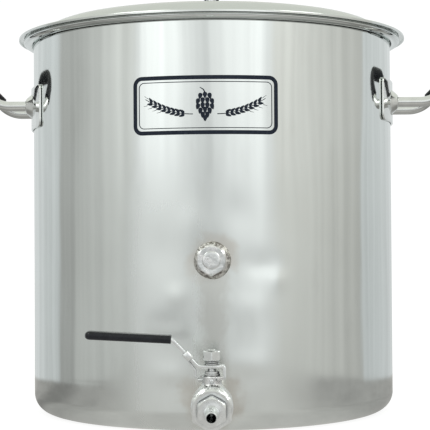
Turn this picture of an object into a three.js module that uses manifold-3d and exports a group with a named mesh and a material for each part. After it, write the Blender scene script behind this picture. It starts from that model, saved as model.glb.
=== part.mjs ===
// A 50 litre brew kettle: a deep-drawn stainless steel pot with a loose lid, two side handles,
// a plugged thermometer port and a two-piece ball valve with a hose barb.
// Millimetres, +Z up. The origin is the centre of the pot's underside. The two ports face -Y
// and the side handles point along +X and -X.
import * as THREE from "three";
import { mergeVertices } from "three/addons/utils/BufferGeometryUtils.js";
import Module from "manifold-3d";

const wasm = await Module();
wasm.setup();

// ---------------------------------------------------------------- driving dimensions

const GAP = 0.3; // clearance between pieces that touch
const ROUND = 20; // sides of a small turned piece
const WIDE = 60; // sides of the pot
const LID_SIDES = 48;

const POT = { radius: 200, wall: 1.5, corner: 20.4, wallTop: 405.6 };
const RIM = { radius: 204.8, height: 408.5, halfWidth: 6.2, halfHeight: 3.5 };

const LID = {
  radius: 216,
  sheet: 1.2,
  hemBottom: 411.2,
  hemTop: 414.1,
  hemEdge: 1.1,
  seatTop: 413.5,
  seatOuter: 208,
  seatInner: 198.2,
  stepRadius: 196.9,
  stepInner: 194.9,
  stepTop: 409.5,
  crownEdge: 195,
  crownBase: 410.1,
  shoulderRise: 15.9,
  shoulderPower: 24,
  domeRise: 8,
};

const BAR = { radius: 5.5, sides: 10, steps: 36 };
const GRIP = { radius: 8.5, bore: 6.2, steps: 24 };
const BOSS = { baseRadius: 13, topRadius: 7.4, height: 6, bore: BAR.radius + GAP };
const PLATE = { height: 46, thickness: 2.2, corner: 5, clearance: 0.5 };

const SIDE = {
  legSpacing: 88,
  halfAngle: THREE.MathUtils.degToRad(25),
  bendRadius: 33,
  bendAngle: THREE.MathUtils.degToRad(45),
  inclineLength: 59,
  cornerRadius: 24,
  gripSetback: 2,
};

// The two handles are fitted by hand, so each has its own height and reach.
const FITTED = {
  left: { plateMiddle: 333.6, legHeight: 336.3, straightEnd: 221.5 },
  right: { plateMiddle: 338.6, legHeight: 338.4, straightEnd: 228.6 },
};

const TOP = { legSpacing: 88, plateLength: 122, rise: 46, cornerRadius: 22, gripStart: 18 };

// Distances along the port axes, measured forward from the pot's axis.
const UPPER = {
  height: 169,
  couplingRadius: 14,
  couplingBore: 10.6,
  couplingBack: 184,
  couplingFront: 214,
  weldRadius: 19.3,
  weldFront: 205.5,
  plugShank: 10.3,
  plugBack: 196,
  headBack: 216,
  headFront: 227.4,
  headAcross: 27,
  padRadius: 8.5,
  padFront: 228.2,
};

const DRAIN = {
  height: 34,
  couplingRadius: 14,
  couplingBore: 10.6,
  couplingBack: 184,
  couplingFront: 214,
  weldRadius: 17,
  weldFront: 205,
  nippleRadius: 10.3,
  nippleBore: 7.6,
  nippleBack: 197,
  nippleFront: 234.5,
};

const VALVE = {
  stem: 256,
  back: 222,
  collarFront: 233,
  collarAcross: 28,
  barrelBack: 241,
  barrelRadius: 19.8,
  front: 273.7,
  inletBore: 10.6,
  inletDepth: 235,
  port: 7.5,
  pocketBack: 241.5,
  chamber: 14.2,
  neckRadius: 9.25,
  neckTop: 28.2,
  stemBore: 4.3,
  packingBore: 6.6,
  packingFloor: 20.6,
};

const BALL = { radius: 12.4, bore: 7.5, slotWidth: 3.6, slotFloor: 9.2 };
const SEAT = { inner: 7.8, outer: 13.8, half: 14.1, length: 4.6 };

const CAP = {
  insertBack: 270.6,
  insertRadius: 13.8,
  flangeBack: 275.6,
  flangeFront: 278.5,
  flangeRadius: 19.4,
  hexFront: 290,
  hexAcross: 36,
  throat: 277.5,
  bore: 7.5,
  threadBore: 10.6,
};

const SEAL = { inner: 14.2, outer: 17.6, back: 274, front: 275.3 };

const BARB = {
  shankBack: 278.5,
  shankRadius: 10.3,
  hexBack: 290.4,
  hexFront: 305,
  hexAcross: 25.6,
  root: 5.9,
  first: 6.9,
  last: 6.1,
  taper: 0.8,
  tip: 340,
  ridges: 4,
  bore: 4.15,
};

// Heights above the drain port's axis.
const STEM = {
  radius: 4,
  tangBottom: 9.7,
  tangThickness: 3,
  flangeBottom: 12.8,
  flangeTop: 14.6,
  flangeRadius: 6.2,
  top: 52.6,
};
const THRUST = { inner: 4.35, outer: 6.2, bottom: 14.9, top: 15.9 };
const PACKING = { inner: 4.35, outer: 6.25, bottom: 20.9, top: 26.2 };
const GLAND = { inner: 4.35, sleeve: 6.25, bottom: 26.5, flange: 8, flangeBottom: 28.6, top: 32.4 };
const WASHER = { inner: 4.35, outer: 7.25, bottom: 38.8, top: 42.0 };
const NUT = { bottom: 42.4, top: 51.2, across: 13.6 };

const LEVER = {
  thickness: 3,
  width: 15,
  plateBottom: 35.4,
  plateBack: 13.4,
  rampStart: -12.4,
  rampEnd: -36.6,
  rampTop: 62.2,
  tip: -115.6,
  tipRise: 4.4,
  tabBottom: 25.4,
  tabWidth: 11,
  tabInset: 1.6,
};
const SLEEVE = { thickness: 7, width: 17, start: 1, overhang: 2.4, edge: 2.6, gap: 0.35 };

const LOCK = {
  length: 8,
  thickness: 6.6,
  wall: 1.3,
  distance: 9.6,
  travel: 4.5,
  legThickness: 1.8,
  tabWidth: 8,
  tabCentre: -11.9,
  kneeHeight: 29.6,
  bottom: 23.4,
  slotWidth: 4.4,
  slotHeight: 3.2,
};

const PIN = { radius: 1.8, height: 24.5, reach: 13.4 };
const STOP = {
  radius: 14,
  bottom: 24.8,
  closed: [-68, -30],
  open: [119, 146],
};

const STEEL = 0xc9cbc8;
const BLACK = 0x141416;

// ---------------------------------------------------------------- materials

const steel = (roughness) =>
  new THREE.MeshStandardMaterial({ color: STEEL, metalness: 1, roughness });
const rubber = (roughness) =>
  new THREE.MeshStandardMaterial({ color: BLACK, metalness: 0, roughness });
const plastic = (color) =>
  new THREE.MeshStandardMaterial({ color, metalness: 0, roughness: 0.45 });

// ---------------------------------------------------------------- solids and booleans

function toSolid(geometry) {
  const bare = geometry.clone();
  bare.deleteAttribute("normal");
  bare.deleteAttribute("uv");
  const merged = mergeVertices(bare, 1e-4);
  return new wasm.Manifold(
    new wasm.Mesh({
      numProp: 3,
      vertProperties: merged.getAttribute("position").array,
      triVerts: new Uint32Array(merged.index.array),
    }),
  );
}

function toGeometry(solid) {
  const mesh = solid.getMesh();
  const geometry = new THREE.BufferGeometry();
  geometry.setAttribute("position", new THREE.BufferAttribute(mesh.vertProperties, 3));
  geometry.setIndex(new THREE.BufferAttribute(mesh.triVerts, 1));
  geometry.computeVertexNormals();
  return geometry;
}

function join(...geometries) {
  return toGeometry(geometries.map(toSolid).reduce((whole, part) => whole.add(part)));
}

function cut(geometry, ...tools) {
  return toGeometry(tools.map(toSolid).reduce((left, tool) => left.subtract(tool), toSolid(geometry)));
}

function common(first, second) {
  return toGeometry(toSolid(first).intersect(toSolid(second)));
}

// ---------------------------------------------------------------- basic shapes

// Twice the area of a closed outline, positive when it runs anticlockwise.
function doubleArea(outline) {
  return outline.reduce((sum, [r, z], i) => {
    const [nextR, nextZ] = outline[(i + 1) % outline.length];
    return sum + r * nextZ - nextR * z;
  }, 0);
}

// A solid of revolution about Z from an outline of [radius, height] points.
// An outline that leaves the axis and returns to it is open there, and any other is a ring.
function turned(outline, sides = ROUND) {
  const points = doubleArea(outline) > 0 ? [...outline] : [...outline].reverse();
  if (points[0][0] > 0) points.push(points[0]);
  const profile = points.map(([r, z]) => new THREE.Vector2(r, z));
  return new THREE.LatheGeometry(profile, sides).rotateX(Math.PI / 2);
}

function rod(radius, bottom, top, sides = ROUND) {
  return turned([[0, bottom], [radius, bottom], [radius, top], [0, top]], sides);
}

function ring(inner, outer, bottom, top, sides = ROUND) {
  return turned([[inner, bottom], [outer, bottom], [outer, top], [inner, top]], sides);
}

// A hexagonal prism about Z with two corners on the Y axis.
function hexagon(across, bottom, top) {
  const cornerRadius = across / Math.sqrt(3);
  const length = top - bottom;
  return new THREE.CylinderGeometry(cornerRadius, cornerRadius, length, 6)
    .rotateX(Math.PI / 2)
    .translate(0, 0, (bottom + top) / 2);
}

// A hexagon whose front corners are turned down, as on a machined nut.
function turnedHexagon(across, bottom, top, chamfer) {
  const wide = across / Math.sqrt(3) + 1;
  const cone = turned([
    [0, bottom - 1],
    [wide, bottom - 1],
    [wide, top - chamfer - (wide - across / 2) * 0.6],
    [across / 2 - 0.4, top],
    [0, top],
  ]);
  return common(hexagon(across, bottom, top), cone);
}

function block(low, high) {
  const size = high.map((value, i) => value - low[i]);
  const middle = high.map((value, i) => (value + low[i]) / 2);
  return new THREE.BoxGeometry(...size).translate(...middle);
}

// Points of an arc in a plane, from one angle to another, both ends included.
function arcPoints(centre, radii, from, to, count) {
  return Array.from({ length: count + 1 }, (_, i) => {
    const angle = from + ((to - from) * i) / count;
    return [centre[0] + radii[0] * Math.cos(angle), centre[1] + radii[1] * Math.sin(angle)];
  });
}

// A straight prism of an XZ outline, centred on Y.
function slab(outline, width) {
  const shape = new THREE.Shape(outline.map(([x, z]) => new THREE.Vector2(x, z)));
  return new THREE.ExtrudeGeometry(shape, { depth: width, bevelEnabled: false })
    .rotateX(Math.PI / 2)
    .translate(0, width / 2, 0);
}

function mesh(name, geometry, material) {
  const made = new THREE.Mesh(geometry, material);
  made.name = name;
  return made;
}

// ---------------------------------------------------------------- pot

// The outside of the pot, grown by an offset, which trims whatever is fixed to it.
function potOutline(offset) {
  const centre = [POT.radius - POT.corner, POT.corner];
  const reach = POT.corner + offset;
  return [
    [0, -offset],
    ...arcPoints(centre, [reach, reach], -Math.PI / 2, 0, 4),
  ];
}

function potEnvelope(offset) {
  const above = RIM.height + 20;
  return turned([...potOutline(offset), [POT.radius + offset, above], [0, above]], WIDE);
}

function kettleShell() {
  const inner = POT.radius - POT.wall;
  const bead = arcPoints(
    [RIM.radius, RIM.height],
    [RIM.halfWidth, RIM.halfHeight],
    -Math.PI * 0.78,
    Math.PI * 0.86,
    6,
  );
  const innerArc = arcPoints(
    [POT.radius - POT.corner, POT.corner],
    [POT.corner - POT.wall, POT.corner - POT.wall],
    0,
    -Math.PI / 2,
    4,
  );
  const outline = [
    ...potOutline(0),
    [POT.radius, POT.wallTop],
    ...bead,
    [inner, RIM.height],
    ...innerArc,
    [0, POT.wall],
  ];
  const holes = [UPPER, DRAIN].map((port) =>
    rod(port.couplingRadius + GAP, 150, 230)
      .rotateX(Math.PI / 2)
      .translate(0, 0, port.height),
  );
  return cut(turned(outline, WIDE), ...holes);
}

// ---------------------------------------------------------------- handles

// A round bar bent along a path of straight runs and round corners.
// Each corner is a point with the radius of its bend.
function bentPath(corners) {
  const path = new THREE.CurvePath();
  let last = corners[0].point;
  corners.slice(1, -1).forEach((corner, i) => {
    const before = corner.point.clone().sub(corners[i].point).normalize();
    const after = corners[i + 2].point.clone().sub(corner.point).normalize();
    const turn = before.angleTo(after);
    const setback = corner.radius * Math.tan(turn / 2);
    const start = corner.point.clone().addScaledVector(before, -setback);
    const inward = after.clone().sub(before).normalize();
    const centre = corner.point
      .clone()
      .addScaledVector(inward, corner.radius / Math.cos(turn / 2));
    const toStart = start.clone().sub(centre);
    const normal = before.clone().cross(after).normalize();
    if (last.distanceTo(start) > 0.01) path.add(new THREE.LineCurve3(last, start));
    const count = Math.max(3, Math.round(turn / 0.2));
    let from = start;
    for (let step = 1; step <= count; step++) {
      const to = centre.clone().add(toStart.clone().applyAxisAngle(normal, (turn * step) / count));
      path.add(new THREE.LineCurve3(from, to));
      from = to;
    }
    last = from;
  });
  path.add(new THREE.LineCurve3(last, corners[corners.length - 1].point));
  return path;
}

function roundSection(radius, bore) {
  const circle = (r, clockwise) =>
    Array.from({ length: BAR.sides }, (_, i) => {
      const angle = ((clockwise ? -1 : 1) * i * 2 * Math.PI) / BAR.sides;
      return new THREE.Vector2(r * Math.cos(angle), r * Math.sin(angle));
    });
  const shape = new THREE.Shape(circle(radius, false));
  if (bore) shape.holes.push(new THREE.Path(circle(bore, true)));
  return shape;
}

function barAlong(corners, steps) {
  return new THREE.ExtrudeGeometry(roundSection(BAR.radius), {
    steps,
    extrudePath: bentPath(corners),
    bevelEnabled: false,
  });
}

function gripAlong(corners) {
  return new THREE.ExtrudeGeometry(roundSection(GRIP.radius, GRIP.bore), {
    steps: GRIP.steps,
    extrudePath: bentPath(corners),
    bevelEnabled: false,
  });
}

// The domed collar welded round each leg, about Z, before it is trimmed to its plate.
function bossBlank(depth) {
  return turned([
    [BOSS.bore, -depth],
    [BOSS.baseRadius, -depth],
    [BOSS.baseRadius, 0.6],
    [BOSS.topRadius + 1, BOSS.height - 0.8],
    [BOSS.topRadius - 0.4, BOSS.height],
    [BOSS.bore, BOSS.height],
  ]);
}

function sidePlate({ plateMiddle }) {
  const inner = POT.radius + PLATE.clearance;
  const outer = inner + PLATE.thickness;
  const { halfAngle } = SIDE;
  const outline = [
    ...arcPoints([0, 0], [outer, outer], -halfAngle, halfAngle, 16),
    ...arcPoints([0, 0], [inner, inner], halfAngle, -halfAngle, 16),
  ];
  const shape = new THREE.Shape(outline.map(([x, y]) => new THREE.Vector2(x, y)));
  const strip = new THREE.ExtrudeGeometry(shape, { depth: PLATE.height, bevelEnabled: false });
  const reach = outer * Math.sin(halfAngle) + 0.2;
  const half = PLATE.height / 2;
  const face = new THREE.Shape();
  face.moveTo(-reach + PLATE.corner, -half);
  face.lineTo(reach - PLATE.corner, -half);
  face.quadraticCurveTo(reach, -half, reach, -half + PLATE.corner);
  face.lineTo(reach, half - PLATE.corner);
  face.quadraticCurveTo(reach, half, reach - PLATE.corner, half);
  face.lineTo(-reach + PLATE.corner, half);
  face.quadraticCurveTo(-reach, half, -reach, half - PLATE.corner);
  face.lineTo(-reach, -half + PLATE.corner);
  face.quadraticCurveTo(-reach, -half, -reach + PLATE.corner, -half);
  const window = new THREE.ExtrudeGeometry(face, { depth: 60, bevelEnabled: false, curveSegments: 4 })
    .rotateX(Math.PI / 2)
    .rotateZ(Math.PI / 2)
    .translate(160, 0, half);
  return common(strip, window).translate(0, 0, plateMiddle - half);
}

// Everything fixed to the plate starts outside this radius.
const plateFace = POT.radius + PLATE.clearance + PLATE.thickness + GAP;

function sideBoss(end, { legHeight }) {
  const offset = (end * SIDE.legSpacing) / 2;
  const seat = Math.sqrt(plateFace ** 2 - offset ** 2);
  const blank = bossBlank(12).rotateY(Math.PI / 2).translate(seat, offset, legHeight);
  return cut(blank, rod(plateFace, 300, 380, WIDE));
}

function sideCorners(start, { straightEnd, legHeight }) {
  const half = SIDE.legSpacing / 2;
  const setback = SIDE.bendRadius * Math.tan(SIDE.bendAngle / 2);
  const bendX = straightEnd + setback;
  const crossX = bendX + SIDE.inclineLength * Math.cos(SIDE.bendAngle);
  const crossZ = legHeight + SIDE.inclineLength * Math.sin(SIDE.bendAngle);
  const leg = (y) => new THREE.Vector3(start, y, legHeight);
  const bend = (y) => new THREE.Vector3(bendX, y, legHeight);
  const cross = (y) => new THREE.Vector3(crossX, y, crossZ);
  return [
    { point: leg(-half) },
    { point: bend(-half), radius: SIDE.bendRadius },
    { point: cross(-half), radius: SIDE.cornerRadius },
    { point: cross(half), radius: SIDE.cornerRadius },
    { point: bend(half), radius: SIDE.bendRadius },
    { point: leg(half) },
  ];
}

function sideBar(fitted) {
  return cut(barAlong(sideCorners(190, fitted), BAR.steps), rod(plateFace, 300, 380, WIDE));
}

// The grip starts just past the first bend and covers the crosspiece.
function sideGrip(fitted) {
  const corners = sideCorners(190, fitted);
  const setback = SIDE.bendRadius * Math.tan(SIDE.bendAngle / 2) + SIDE.gripSetback;
  const along = corners[2].point.clone().sub(corners[1].point).normalize();
  const first = corners[1].point.clone().addScaledVector(along, setback);
  const last = first.clone();
  last.y = -first.y;
  return gripAlong([{ point: first }, corners[2], corners[3], { point: last }]);
}

function sideHandle(side) {
  const fitted = FITTED[side];
  const front = side === "right" ? -1 : 1;
  const handle = new THREE.Group();
  handle.add(
    mesh(`handle_bracket_${side}`, sidePlate(fitted), steel(0.12)),
    mesh(`handle_boss_${side}_front`, sideBoss(front, fitted), steel(0.2)),
    mesh(`handle_boss_${side}_rear`, sideBoss(-front, fitted), steel(0.2)),
    mesh(`handle_bar_${side}`, sideBar(fitted), steel(0.15)),
    mesh(`handle_grip_${side}`, sideGrip(fitted), rubber(0.5)),
  );
  handle.rotation.z = side === "right" ? 0 : Math.PI;
  return handle;
}

// ---------------------------------------------------------------- lid

// Height of the crown's top face at a distance from its middle.
function crownHeight(distance) {
  const share = distance / LID.crownEdge;
  return (
    LID.crownBase +
    LID.shoulderRise * (1 - share ** LID.shoulderPower) +
    LID.domeRise * (1 - share ** 2)
  );
}

// The lid's top face from the hem's lower edge to the middle.
function lidTop() {
  const radii = [193.5, 189.5, 184.5, 178, 168, 135, 90];
  return [
    [LID.radius, LID.hemBottom],
    [LID.radius, LID.hemTop - LID.hemEdge],
    [LID.radius - LID.hemEdge, LID.hemTop],
    [LID.seatOuter, LID.seatTop],
    [LID.seatInner, LID.seatTop],
    [LID.stepRadius, LID.stepTop],
    [LID.stepInner, LID.stepTop],
    ...radii.map((r) => [r, crownHeight(r)]),
    [0, crownHeight(0)],
  ];
}

// The same face moved down through the sheet, square to the surface.
function sheetUnderside(top, sheet) {
  return top.map(([r, z], i) => {
    const [beforeR, beforeZ] = top[Math.max(i - 1, 0)];
    const [afterR, afterZ] = top[Math.min(i + 1, top.length - 1)];
    const run = Math.hypot(afterR - beforeR, afterZ - beforeZ);
    const normal = [(afterZ - beforeZ) / run, -(afterR - beforeR) / run];
    return r === 0 ? [0, z - sheet] : [r - normal[0] * sheet, z - normal[1] * sheet];
  });
}

function lidShell() {
  const top = lidTop();
  return turned([...top, ...sheetUnderside(top, LID.sheet).reverse()], LID_SIDES);
}

// The bracket plate is rolled to the crown along its length.
function lidPlate() {
  const half = TOP.plateLength / 2;
  const stations = [-1, -0.8, -0.55, -0.3, 0, 0.3, 0.55, 0.8, 1].map((t) => t * half);
  const under = stations.map((y) => [y, crownHeight(Math.abs(y)) + GAP]);
  const over = stations.map((y) => [y, crownHeight(Math.abs(y)) + GAP + PLATE.thickness]);
  return slab([...under, ...over.reverse()], PLATE.height).rotateZ(Math.PI / 2);
}

const lidPlateTop = crownHeight(0) + GAP + PLATE.thickness;

function lidBoss(side) {
  const offset = (side * TOP.legSpacing) / 2;
  const seat = crownHeight(Math.abs(offset)) + 2 * GAP + PLATE.thickness;
  return bossBlank(0).translate(0, offset, Math.max(seat, lidPlateTop + GAP));
}

function lidCorners(bottom) {
  const half = TOP.legSpacing / 2;
  const top = lidPlateTop + TOP.rise;
  return [
    { point: new THREE.Vector3(0, -half, bottom) },
    { point: new THREE.Vector3(0, -half, top), radius: TOP.cornerRadius },
    { point: new THREE.Vector3(0, half, top), radius: TOP.cornerRadius },
    { point: new THREE.Vector3(0, half, bottom) },
  ];
}

function lidHandle() {
  const handle = new THREE.Group();
  handle.add(
    mesh("lid_handle_plate", lidPlate(), steel(0.15)),
    mesh("lid_handle_boss_front", lidBoss(-1), steel(0.2)),
    mesh("lid_handle_boss_rear", lidBoss(1), steel(0.2)),
    mesh("lid_handle_bar", barAlong(lidCorners(lidPlateTop + GAP), BAR.steps), steel(0.15)),
    mesh("lid_handle_grip", gripAlong(lidCorners(lidPlateTop + TOP.gripStart)), rubber(0.5)),
  );
  return handle;
}

// ---------------------------------------------------------------- ports

// A port's own frame: local Z runs forward from the pot's axis and local Y is up.
function portFrame(height) {
  const frame = new THREE.Group();
  frame.position.set(0, 0, height);
  frame.rotation.x = Math.PI / 2;
  return frame;
}

// A half-round bead between a coupling and the wall, trimmed to the wall.
function weldBead(port) {
  const blank = turned(
    [
      [port.couplingRadius + GAP, 190],
      [port.weldRadius, 190],
      [port.weldRadius, port.weldFront - 3.4],
      [port.weldRadius - 1, port.weldFront - 1.4],
      [port.couplingRadius + 1.2, port.weldFront],
      [port.couplingRadius + GAP, port.weldFront],
    ],
    28,
  );
  const wall = potEnvelope(GAP).translate(0, 0, -port.height).rotateX(-Math.PI / 2);
  return cut(blank, wall);
}

function coupling(port) {
  const { couplingBore: bore, couplingRadius: radius, couplingBack: back, couplingFront: front } = port;
  return turned([
    [bore, back],
    [radius, back],
    [radius, front - 0.8],
    [radius - 0.8, front],
    [bore, front],
  ]);
}

function plug() {
  const shank = rod(UPPER.plugShank, UPPER.plugBack, UPPER.headBack + 1);
  const head = turnedHexagon(UPPER.headAcross, UPPER.headBack, UPPER.headFront, 0.2);
  const pad = rod(UPPER.padRadius, UPPER.headFront - 1, UPPER.padFront);
  return join(shank, head, pad);
}

function upperPort() {
  const port = portFrame(UPPER.height);
  port.add(
    mesh("upper_port_coupling", coupling(UPPER), steel(0.3)),
    mesh("upper_port_weld", weldBead(UPPER), steel(0.4)),
    mesh("upper_port_plug", plug(), steel(0.3)),
  );
  return port;
}

// ---------------------------------------------------------------- valve body

// Turns a shape made about local Z upright, so that its height runs along local Y.
function upright(geometry) {
  return geometry.rotateX(-Math.PI / 2).translate(0, 0, VALVE.stem);
}

function valveNeck() {
  const neck = rod(VALVE.neckRadius, 10, VALVE.neckTop);
  const [closedFrom, closedTo] = STOP.closed;
  const [openFrom, openTo] = STOP.open;
  return join(
    neck,
    stopSector(closedFrom, closedTo),
    stopSector(openFrom, openTo),
    lockPin(180),
    lockPin(270),
  );
}

// A wedge on the neck that the lever's tab meets at an end of its travel.
function stopSector(from, to) {
  const inner = VALVE.neckRadius - 2;
  const [start, end] = [from, to].map(THREE.MathUtils.degToRad);
  const outline = [
    ...arcPoints([0, 0], [STOP.radius, STOP.radius], start, end, 5),
    ...arcPoints([0, 0], [inner, inner], end, start, 3),
  ];
  const shape = new THREE.Shape(outline.map(([x, y]) => new THREE.Vector2(x, y)));
  const height = VALVE.neckTop - STOP.bottom;
  return new THREE.ExtrudeGeometry(shape, { depth: height, bevelEnabled: false })
    .translate(0, 0, STOP.bottom);
}

function lockPin(azimuth) {
  return rod(PIN.radius, VALVE.neckRadius - 2, PIN.reach, 16)
    .rotateY(Math.PI / 2)
    .rotateZ(THREE.MathUtils.degToRad(azimuth))
    .translate(0, 0, PIN.height);
}

function valveBody() {
  const barrel = turned([
    [0, VALVE.collarFront - 1],
    [13.4, VALVE.collarFront - 1],
    [VALVE.barrelRadius - 1.2, VALVE.barrelBack - 1],
    [VALVE.barrelRadius, VALVE.barrelBack + 1],
    [VALVE.barrelRadius, VALVE.front - 0.8],
    [VALVE.barrelRadius - 0.8, VALVE.front],
    [0, VALVE.front],
  ], 32);
  const collar = turnedHexagon(VALVE.collarAcross, VALVE.back, VALVE.collarFront + 1, 0);
  const inlet = rod(VALVE.inletBore, VALVE.back - 5, VALVE.inletDepth);
  const port = rod(VALVE.port, VALVE.back, VALVE.front);
  const chamber = rod(VALVE.chamber, VALVE.pocketBack, VALVE.front + 5);
  const stemBore = upright(rod(VALVE.stemBore, 5, VALVE.neckTop + 5));
  const flangePocket = upright(rod(THRUST.outer + 0.35, 5, THRUST.top + GAP));
  const packingBore = upright(rod(VALVE.packingBore, VALVE.packingFloor, VALVE.neckTop + 5));
  const whole = join(barrel, collar, upright(valveNeck()));
  return cut(whole, inlet, port, chamber, stemBore, flangePocket, packingBore);
}

function endCap() {
  const insert = rod(CAP.insertRadius, CAP.insertBack, CAP.flangeBack + 1);
  const flange = rod(CAP.flangeRadius, CAP.flangeBack, CAP.flangeFront, 32);
  const hex = turnedHexagon(CAP.hexAcross, CAP.flangeBack + 1, CAP.hexFront, 0.3);
  const bore = rod(CAP.bore, CAP.insertBack - 5, CAP.hexFront + 5);
  const thread = rod(CAP.threadBore, CAP.throat, CAP.hexFront + 5);
  return cut(join(insert, flange, hex), bore, thread);
}

// A plastic seat whose inner edge is coned to suit the ball. Facing is +1 in front of it.
function ballSeat(facing) {
  const back = SEAT.half;
  const front = SEAT.half - SEAT.length;
  const coneInner = Math.sqrt((BALL.radius + GAP) ** 2 - SEAT.inner ** 2);
  const outline = [
    [SEAT.inner, back],
    [SEAT.outer, back],
    [SEAT.outer, front],
    [SEAT.outer - 1.6, front],
    [SEAT.inner + 1.4, coneInner + 0.3],
    [SEAT.inner, coneInner + 0.6],
  ];
  return turned(outline.map(([r, z]) => [r, VALVE.stem + facing * z]));
}

function valveBall() {
  const rows = 8;
  const outline = arcPoints([0, 0], [BALL.radius, BALL.radius], -Math.PI / 2, Math.PI / 2, rows);
  outline[0][0] = 0;
  outline[rows][0] = 0;
  const ball = turned(outline, 20).translate(0, 0, VALVE.stem);
  const bore = rod(BALL.bore, -20, 20, 20).rotateY(Math.PI / 2).translate(0, 0, VALVE.stem);
  const halfSlot = BALL.slotWidth / 2;
  const slot = upright(block([-halfSlot, -20, BALL.slotFloor], [halfSlot, 20, 20]));
  return cut(ball, bore, slot);
}

function hoseBarb() {
  const { ridges, first, last, taper, root, hexFront, tip } = BARB;
  const pitch = (tip - hexFront - 2) / ridges;
  const outline = [
    [0, BARB.shankBack],
    [BARB.shankRadius - 0.6, BARB.shankBack],
    [BARB.shankRadius, BARB.shankBack + 1],
    [BARB.shankRadius, BARB.hexBack + 1],
    [root, BARB.hexBack + 1],
    [root, hexFront + 2],
  ];
  for (let i = 0; i < ridges; i++) {
    const start = hexFront + 2 + i * pitch;
    const crest = first + ((last - first) * i) / (ridges - 1);
    outline.push([crest, start + 0.6], [crest - taper, start + pitch]);
  }
  outline.push([0, tip]);
  const hex = turnedHexagon(BARB.hexAcross, BARB.hexBack, hexFront, 0.6);
  const body = join(turned(outline, 20), hex);
  return cut(body, rod(BARB.bore, BARB.shankBack - 5, tip + 5, 20));
}

// ---------------------------------------------------------------- lever

// Corner points of the lever's centre line, [x, height above the port axis].
const plateMiddle = LEVER.plateBottom + LEVER.thickness / 2;
const rampFoot = [LEVER.rampStart, plateMiddle];
const rampHead = [LEVER.rampEnd, LEVER.rampTop];
const leverTip = [LEVER.tip, LEVER.rampTop + LEVER.tipRise];
const rampAngle = Math.atan2(rampHead[1] - rampFoot[1], rampFoot[0] - rampHead[0]);

// Moves each corner of a centre line square to the strip, with mitred corners.
function sideOfStrip(line, offset) {
  return line.map((point, i) => {
    const before = line[Math.max(i - 1, 0)];
    const after = line[Math.min(i + 1, line.length - 1)];
    const directions = [
      [point[0] - before[0], point[1] - before[1]],
      [after[0] - point[0], after[1] - point[1]],
    ].filter(([x, z]) => Math.hypot(x, z) > 0);
    const normals = directions.map(([x, z]) => [-z / Math.hypot(x, z), x / Math.hypot(x, z)]);
    const [first, second] = normals.length > 1 ? normals : [normals[0], normals[0]];
    const scale = offset / (1 + first[0] * second[0] + first[1] * second[1]);
    return [point[0] + (first[0] + second[0]) * scale, point[1] + (first[1] + second[1]) * scale];
  });
}

function strip(line, thickness, width) {
  const half = thickness / 2;
  return slab([...sideOfStrip(line, half), ...sideOfStrip(line, -half).reverse()], width);
}

function leverArm() {
  const back = [LEVER.plateBack, plateMiddle];
  const bar = strip([back, rampFoot, rampHead, leverTip], LEVER.thickness, LEVER.width);
  const tabLine = [
    [LEVER.plateBack - LEVER.tabInset - 2, plateMiddle],
    [LEVER.plateBack - LEVER.tabInset, plateMiddle],
    [LEVER.plateBack - LEVER.tabInset, LEVER.tabBottom],
  ];
  const tab = strip(tabLine, LEVER.thickness, LEVER.tabWidth);
  const hole = rod(STEM.radius + GAP, plateMiddle - 5, plateMiddle + 5);
  return cut(join(bar, tab), hole);
}

// A rounded tube of vinyl with a blind end, made about the outer run of the lever.
function leverSleeve() {
  const run = [leverTip[0] - rampHead[0], leverTip[1] - rampHead[1]];
  const length = Math.hypot(...run);
  const slope = Math.atan2(run[1], -run[0]);
  const { edge } = SLEEVE;
  const halfWidth = SLEEVE.width / 2 - edge;
  const end = length + SLEEVE.overhang - edge;
  const nose = 5;
  const plan = new THREE.Shape();
  plan.moveTo(-SLEEVE.start, -halfWidth);
  plan.lineTo(-SLEEVE.start, halfWidth);
  plan.lineTo(-end + nose, halfWidth);
  plan.quadraticCurveTo(-end, halfWidth, -end, halfWidth - nose);
  plan.lineTo(-end, -halfWidth + nose);
  plan.quadraticCurveTo(-end, -halfWidth, -end + nose, -halfWidth);
  const thickness = SLEEVE.thickness - 2 * edge;
  const skin = new THREE.ExtrudeGeometry(plan, {
    depth: thickness,
    bevelThickness: edge,
    bevelSize: edge,
    bevelSegments: 3,
    curveSegments: 5,
  }).translate(0, 0, -thickness / 2);
  const gapHalf = LEVER.thickness / 2 + SLEEVE.gap;
  const cavity = block(
    [-length - SLEEVE.gap, -LEVER.width / 2 - SLEEVE.gap, -gapHalf],
    [20, LEVER.width / 2 + SLEEVE.gap, gapHalf],
  );
  const square = block([-SLEEVE.start, -30, -30], [30, 30, 30]);
  return cut(skin, cavity, square)
    .rotateY(slope)
    .translate(rampHead[0], 0, rampHead[1]);
}

function valveStem() {
  const half = STEM.tangThickness / 2;
  const tang = block([-half, -4.6, STEM.tangBottom], [half, 4.6, STEM.flangeBottom + 0.5]);
  const shaft = turned([
    [0, STEM.flangeBottom],
    [STEM.flangeRadius, STEM.flangeBottom],
    [STEM.flangeRadius, STEM.flangeTop],
    [STEM.radius, STEM.flangeTop],
    [STEM.radius, STEM.top - 0.6],
    [STEM.radius - 0.6, STEM.top],
    [0, STEM.top],
  ], 24);
  return join(tang, shaft);
}

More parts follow.
